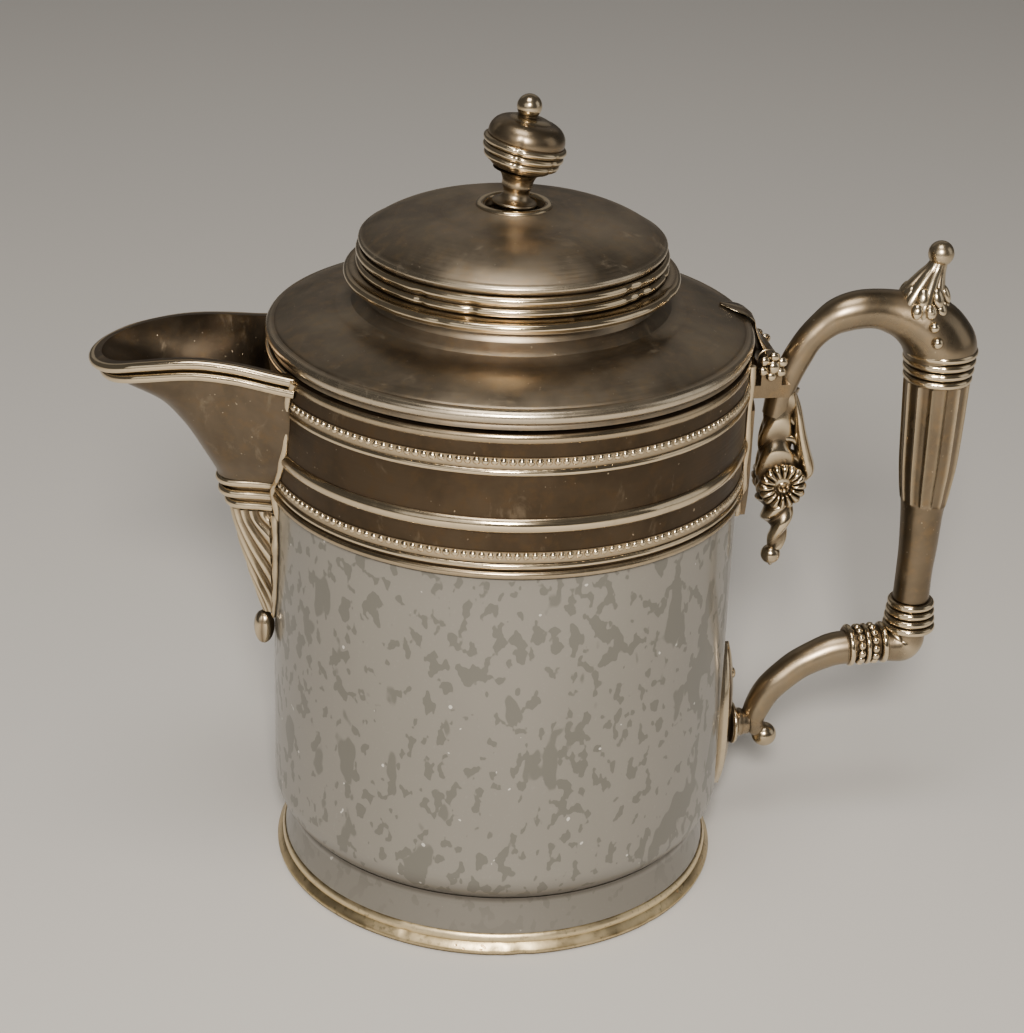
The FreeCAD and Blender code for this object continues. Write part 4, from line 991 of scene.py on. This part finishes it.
def lower_elbow():
    Form().bar([
        (79.0, 41.0, 3.3), (78.95, 39.4, 3.35), (78.7, 38.0, 3.5), (77.9, 37.1, 3.55),
        (76.4, 36.9, 3.4), (74.3, 36.95, 3.15),
    ], 60, mitre, around=64).piece("lower_elbow_mitred", "cast_metal", ["lower_elbow"], sharp=50.0)


def arm_collar():
    """Collar between elbow and lower arm: three rings with two rows of beads between them."""
    low, high = span("arm_collar")
    length = high[0] - low[0]
    collar = turned([
        (CORE, 0.0), (3.3, 0.0, 0.1, 0.3), (3.55, 0.15, 0.5, 1.0), (3.55, 1.35),
        (3.0, 1.5), (3.0, length * 0.5 - 0.5), (3.55, length * 0.5 - 0.45, 0.4, 1.0),
        (3.55, length * 0.5 + 0.45), (3.0, length * 0.5 + 0.5), (3.0, length - 1.4),
        (3.5, length - 1.3, 0.5, 1.0), (3.5, length - 0.1), (CORE, length),
    ], 0.14, steps=96)
    beads = 13
    for level, offset in ((length * 0.33, 0.0), (length * 0.67, 0.5)):
        for index in range(beads):
            angle = TURN * (index + offset) / beads
            place = (3.2 * math.cos(angle), 3.2 * math.sin(angle), level)
            collar.ball(place, 0.82, rows=10, columns=14, crest=1.0)
    collar.lean(np.zeros(3), 87.0)
    collar.shift((low[0] + 0.1, 0.0, middle("arm_collar")[2] - 0.15))
    collar.piece("arm_collar_beaded", "worn_moulding", ["arm_collar"], sharp=50.0)


def thumb_leaf():
    """A ribbed spike that leans away from the jug, on two rings of spread lobes."""
    stations = [
        (74.2, 104.4, 4.9), (74.6, 106.2, 4.7), (75.2, 108.2, 4.0), (76.0, 110.4, 3.0),
        (76.8, 112.4, 2.0), (77.3, 113.8, 1.6),
    ]
    leaf = Form().bar(stations, 40, ribbed, around=128)
    run = smooth_path(stations, 40)
    for count, ring, level, length in ((11, 4.5, 105.9, 1.5), (8, 3.7, 108.1, 1.9)):
        middle_x = np.interp(level, run[:, 1], run[:, 0])
        longer = (0.85, 1.15, length)
        for index in range(count):
            angle = TURN * (index + 0.5) / count
            lobe = Form().ball(np.zeros(3), 1.0, rows=12, columns=14, stretch=longer, crest=1.0)
            lobe.lean(np.zeros(3), -22.0).spin(angle)
            leaf.join(lobe.shift((middle_x + ring * math.cos(angle), ring * math.sin(angle), level)))
    leaf.piece("thumb_leaf_petals", "cast_metal", ["thumb_leaf"], sharp=60.0)


def cast_ball(node, stretch):
    ball = Form().ball(middle(node), half(node)[1], rows=28, columns=36, stretch=stretch, crest=0.6)
    ball.piece(node + "_cast", "cast_metal", [node], sharp=70.0)


def lower_arm():
    """Arm that falls from the elbow and tapers into its terminal."""
    Form().bar([
        (67.2, 36.75, 3.25), (63.6, 36.1, 3.15), (60.0, 34.6, 2.95), (56.5, 32.4, 2.85),
        (53.4, 29.6, 2.75), (51.2, 26.4, 2.6), (50.0, 23.2, 2.35), (50.2, 20.9, 1.9),
        (51.3, 19.4, 1.5),
    ], 110, uneven(26, -1, 0.014, 0.15), around=56).piece(
        "lower_arm_cast", "cast_metal", ["lower_arm"], sharp=70.0)


upper_crest = span("upper_ferrule")[1][1]
lower_crest = span("lower_ferrule")[1][1]
grip()
ferrule("upper_ferrule", upper_crest - 0.55, upper_crest, 0.72, 120,
        dents(0.2, (250, 95.0, 6.0), (20, 93.0, 5.0)))
ferrule("lower_ferrule", lower_crest + 0.3, lower_crest - 0.25, 0.7, 110)
upper_arm()
elbow_pearls()
lower_elbow()
arm_collar()
thumb_leaf()
cast_ball("thumb_ball", (1.0, 0.98, 1.0))
cast_ball("arm_ball", (1.0, 1.0, 0.97))
lower_arm()

# ---- handle mounts


def rosette(node, side):
    """Sixteen petals round a dimpled boss."""
    centre = middle(node)
    radius = half(node)[2]
    back = centre[1] - side * half(node)[1]
    share = np.linspace(0.02, 1.0, 40)[:, None]
    angle = round_angles(256)[None, :]
    petal = np.abs(np.cos(8.0 * angle)) ** 0.6
    body = np.clip((share - 0.3) / 0.12, 0.0, 1.0)
    swell = np.sin(np.clip((share - 0.25) / 0.8, 0.0, 1.0) * math.pi) ** 0.5
    height = 0.35 + 1.3 * swell * (0.25 + 0.75 * petal) * body
    boss = np.exp(-((share - 0.2) / 0.1) ** 2) * 1.2
    height = np.maximum(height, boss) * (1.0 - 0.25 * np.exp(-(share / 0.1) ** 2))
    reach = radius * share * np.where(share > 0.9, 0.93 + 0.07 * petal, 1.0)
    front = np.stack([
        centre[0] + reach * np.cos(angle),
        back + side * height,
        centre[2] + reach * np.sin(angle),
    ], axis=-1)
    rim = front[-1:].copy()
    rim[..., 1] = back
    crests = np.concatenate([petal * body + boss, 0.0 * rim[..., 0]])
    form = Form().grid(np.concatenate([front, rim]), crests, ring=True)
    form.piece(node + "_petals", "worn_moulding", [node], sharp=60.0)


def scroll_tail():
    Form().bar([
        (50.2, 69.6, 3.5), (50.6, 67.4, 3.5), (51.3, 65.0, 3.0), (51.7, 62.0, 2.15),
        (51.2, 58.7, 1.5),
    ], 90, twisted(2, 2.3, 0.42), around=60).piece(
        "scroll_tail_twisted", "cast_metal", ["scroll_tail"], sharp=70.0)


def tail_ball():
    """Ball with a small nib under it."""
    ball = Form().ball((50.6, middle("tail_ball")[1], 57.2), 1.85, rows=24, columns=30, crest=0.7)
    ball.ball((50.7, 0.0, 55.3), 0.42, rows=8, columns=12, crest=0.8)
    ball.piece("tail_ball_cast", "cast_metal", ["tail_ball"], sharp=70.0)


def handle_scroll():
    """Grooved scroll stem, the leaf wing behind it and three ribs across the wing."""
    scroll = Form().bar([
        (51.0, 90.8, 2.6), (50.2, 87.0, 3.0), (49.7, 82.0, 3.1), (49.9, 77.6, 3.6),
        (50.6, 73.0, 4.2), (50.2, 69.4, 3.4), (49.8, 68.2, 2.4),
    ], 110, acanthus, around=64, flat=0.82)
    scroll.bar([
        (52.4, 90.0, 0.4), (53.2, 86.4, 0.95), (54.0, 82.0, 1.25), (55.0, 78.0, 1.45),
        (55.9, 74.6, 1.5), (55.5, 72.4, 0.8),
    ], 60, around=24, flat=1.9, crests=0.85)
    for rib in (
            [(50.6, 85.6, 1.0), (52.2, 84.4, 0.8), (53.9, 82.6, 0.6)],
            [(50.8, 81.2, 1.1), (52.8, 80.6, 0.9), (54.8, 78.4, 0.6)],
            [(51.2, 77.4, 1.1), (53.4, 77.0, 0.9), (55.4, 75.0, 0.6)]):
        scroll.bar(rib, 24, around=18, flat=1.7, crests=0.85)
    scroll.piece("handle_scroll_leaf", "cast_metal", ["handle_scroll"], sharp=60.0)


def plate_border():
    """Border strips at the edges of the mount plate."""
    line = smooth_path([
        (11.9, 99.6), (11.9, 92.0), (11.9, 84.0), (11.8, 78.6), (9.4, 73.6), (6.9, 69.2),
    ], 70)
    sizes = 0.75 + 0.14 * np.sin(np.linspace(0.0, 21.0, 70))
    wall_strips("plate_border", line, 1.0, 0.35, sizes, 0.9)


def arm_flange():
    """Flared foot of the lower arm on the escutcheon."""
    level = middle("arm_flange")[2]
    seat = turned([
        (CORE, 0.0), (3.7, 0.0, 0.1, 0.5), (3.8, 0.2, 0.35, 1.0), (3.7, 0.9, -0.3, 0.3),
        (2.7, 2.2, -0.1, 0.2), (2.4, 3.6), (CORE, 3.6),
    ], 0.15, steps=96)
    seat.lean(np.zeros(3), 90.0).shift((span("arm_flange")[0][0], 0.0, level))
    seat.piece("arm_flange_flared", "cast_metal", ["arm_flange"], sharp=50.0)


def hinge_pearls():
    """A flower of six small balls round a larger one, on each cheek of the hinge."""
    pin = middle("hinge_pin")
    cheek = span("hinge_bracket")[1][1]
    dress = Form()
    for side in (-1.0, 1.0):
        centre = (pin[0], side * (cheek + 0.35), pin[2])
        dress.ball(centre, 1.25, rows=14, columns=20, stretch=(1.0, 0.7, 1.0), crest=1.0)
        for index in range(6):
            turn = math.radians(25.0 + 60.0 * index)
            place = (pin[0] + 1.85 * math.cos(turn), side * (cheek + 0.05), pin[2] + 1.85 * math.sin(turn))
            dress.ball(place, 1.0, rows=10, columns=14, stretch=(1.0, 0.6, 0.9), crest=1.0)
    dress.piece("hinge_pearls", "cast_metal", [], sharp=60.0)


def escutcheon():
    """Keeled pointed oval on the wall, with a raised edge and a rivet."""
    level = middle("escutcheon")[2] - 0.9
    tall = half("escutcheon")[2] + 1.3
    top = span("escutcheon")[1][0]
    rise = np.linspace(-1.0, 1.0, 90)[:, None]
    across = np.linspace(-1.0, 1.0, 61)[None, :]
    y = (7.9 * (1.0 - rise ** 2) ** 0.82 + 0.05) * across
    wall = np.sqrt(WALL_RADIUS ** 2 - y ** 2)
    ridge = top + 0.3 - 1.6 * np.abs(rise) ** 3.0
    keel = (1.0 - np.abs(across) ** 1.5) ** 1.1
    lip = 1.0 * np.exp(-((np.abs(across) - 0.88) / 0.1) ** 2)
    x = wall + 0.55 + (ridge - WALL_RADIUS - 0.55) * keel + lip
    z = level + tall * rise + 0.0 * across
    front = np.stack([x, y, z], axis=-1)
    behind = np.stack([wall - 0.3, y, z], axis=-1)
    crests = np.concatenate([keel ** 4 + 2.0 * lip + 0.0 * rise, 0.0 * behind[..., 0]], axis=1)
    plate = Form().grid(np.concatenate([front, behind[:, ::-1]], axis=1), crests, ring=True)
    plate.ball((top - 0.3, 0.0, 32.4), 1.15, rows=14, columns=20, stretch=(0.7, 1.0, 1.0), crest=0.9)
    plate.piece("escutcheon_keeled", "cast_metal", ["escutcheon"], sharp=50.0)


def strap_leaf():
    """Tapering veined leaf from the knuckle over the rolled rim onto the dome."""
    path = smooth_path([
        (46.0, 98.2, 2.3, 2.0), (44.7, 100.6, 2.4, 1.2), (43.65, 102.9, 2.9, 0.75),
        (43.2, 104.6, 3.2, 0.7), (41.7, 105.7, 3.1, 0.7), (39.6, 106.4, 2.3, 0.6),
        (37.6, 106.9, 0.5, 0.45),
    ], 60)
    along = np.gradient(path[:, :2], axis=0)
    along /= np.linalg.norm(along, axis=1)[:, None]
    turn = round_angles(40)
    across = np.cos(turn)
    vein = 0.35 * np.exp(-(across / 0.16) ** 2) * (np.sin(turn) > 0)
    rows = []
    for (x, z, wide, thick), (step_x, step_z) in zip(path, along):
        lift = thick * 0.5 * np.sin(turn) * (1.0 + vein)
        rows.append(np.stack([x + step_z * lift, wide * across, z - step_x * lift], axis=1))
    crest = np.clip(vein * 3.0 + np.abs(across) ** 6, 0.0, 1.0)
    return Form().grid(rows, np.tile(crest, (len(rows), 1)), ring=True)


def hinge_strap():
    """The leaf and the barrel of the middle knuckle, on the pin."""
    half_width = span("hinge_strap")[1][1]
    pin = middle("hinge_pin")
    barrel = turned([
        (1.0, -half_width), (1.75, -half_width, 0.12, 0.9), (1.9, -half_width + 0.3), (1.9, -0.5, -0.2, 0.2),
        (1.9, 0.5), (1.9, half_width - 0.3, 0.12, 0.9), (1.75, half_width), (1.0, half_width),
    ], 0.2, steps=72)
    barrel.lie().shift((pin[0], 0.0, pin[2]))
    strap = strap_leaf().join(barrel)
    strap.piece("hinge_strap_leaf", "cast_metal", ["hinge_strap"], "cover", sharp=50.0)


rosette("near_rosette", -1.0)
rosette("far_rosette", 1.0)
scroll_tail()
tail_ball()
handle_scroll()
plate_border()
arm_flange()
hinge_pearls()
escutcheon()
hinge_strap()

# ---- camera, light and floor

AIM = Vector((0.00147, -0.00026, 0.06707))
HEADING = math.radians(10.2)
PITCH = math.radians(24.80)
ROLL = math.radians(2.016)
DISTANCE = 0.4496
FOCAL_LENGTH = 86.43
SENSOR_WIDTH = 36.0

forward = Vector((
    math.sin(HEADING) * math.cos(PITCH),
    math.cos(HEADING) * math.cos(PITCH),
    -math.sin(PITCH),
))
lens = bpy.data.cameras.new("camera")
lens.lens = FOCAL_LENGTH
lens.sensor_width = SENSOR_WIDTH
lens.clip_start = 0.01
camera = linked("camera", lens)
camera.location = AIM - forward * DISTANCE
level_turn = forward.to_track_quat("-Z", "Y").to_matrix()
camera.rotation_euler = (level_turn @ Matrix.Rotation(ROLL, 3, "Z")).to_euler()
bpy.context.scene.camera = camera


def softbox(name, place, width, depth, power, tone, aim=(0.0, 0.0, 0.07)):
    """A rectangular area light in metres and watts, turned to the jug."""
    light = bpy.data.lights.new(name, "AREA")
    light.shape = "RECTANGLE"
    light.size = width
    light.size_y = depth
    light.energy = power
    light.color = tone
    lamp = linked(name, light)
    lamp.location = place
    lamp.rotation_euler = (Vector(aim) - Vector(place)).to_track_quat("-Z", "Y").to_euler()


softbox("key_lamp", (-0.129, -0.717, 0.528), 0.16, 0.16, 10.0, (1.0, 0.92, 0.82), (0.0, 0.0, 0.09))
softbox("ceiling_lamp", (-0.1, -0.25, 1.1), 0.45, 0.45, 4.2, (1.0, 0.94, 0.86))
softbox("front_fill", (-0.8, -1.0, 0.6), 0.9, 0.8, 1.5, (1.0, 0.97, 0.93))
softbox("side_fill", (1.1, -0.25, 0.45), 0.7, 0.8, 0.9, (1.0, 0.97, 0.93))
softbox("back_panel", (0.1, 1.0, 0.78), 1.6, 0.8, 0.6, (1.0, 0.93, 0.85))

world = bpy.data.worlds.new("studio")
bpy.context.scene.world = world
world.use_nodes = True
backdrop = world.node_tree.nodes["Background"].inputs
backdrop["Color"].default_value = (0.2, 0.19, 0.178, 1.0)
backdrop["Strength"].default_value = 0.42

FLOOR_HALF = 3.0
floor_corners = [(x * FLOOR_HALF, y * FLOOR_HALF, 0.0) for x, y in ((-1, -1), (1, -1), (1, 1), (-1, 1))]
floor_mesh = bpy.data.meshes.new("floor")
floor_mesh.from_pydata(floor_corners, [], [(0, 1, 2, 3)])
floor = linked("floor", floor_mesh)
floor_mesh.materials.append(Finish("floor_paper").finish((0.62, 0.61, 0.59, 1.0), 0.8))

# ---- finish the CAD nodes that stay

STAYING = {
    "grey_enamel": ["enamel_body", "foot_skirt"],
    "dark_band": ["neck_band"],
    "spout_metal": ["spout_shell"],
    "fastener_metal": ["finial_stud", "finial_nut", "hinge_pin"],
    "worn_moulding": ["hinge_bracket"],
}
for name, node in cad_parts.items():
    if node.hide_render:
        continue
    slot = next((key for key, names in STAYING.items() if name in names), "cast_metal")
    node.data.materials.clear()
    node.data.materials.append(FINISHES[slot])
    node.data.shade_smooth()
    node.data.set_sharp_from_angle(angle=math.radians(30.0))
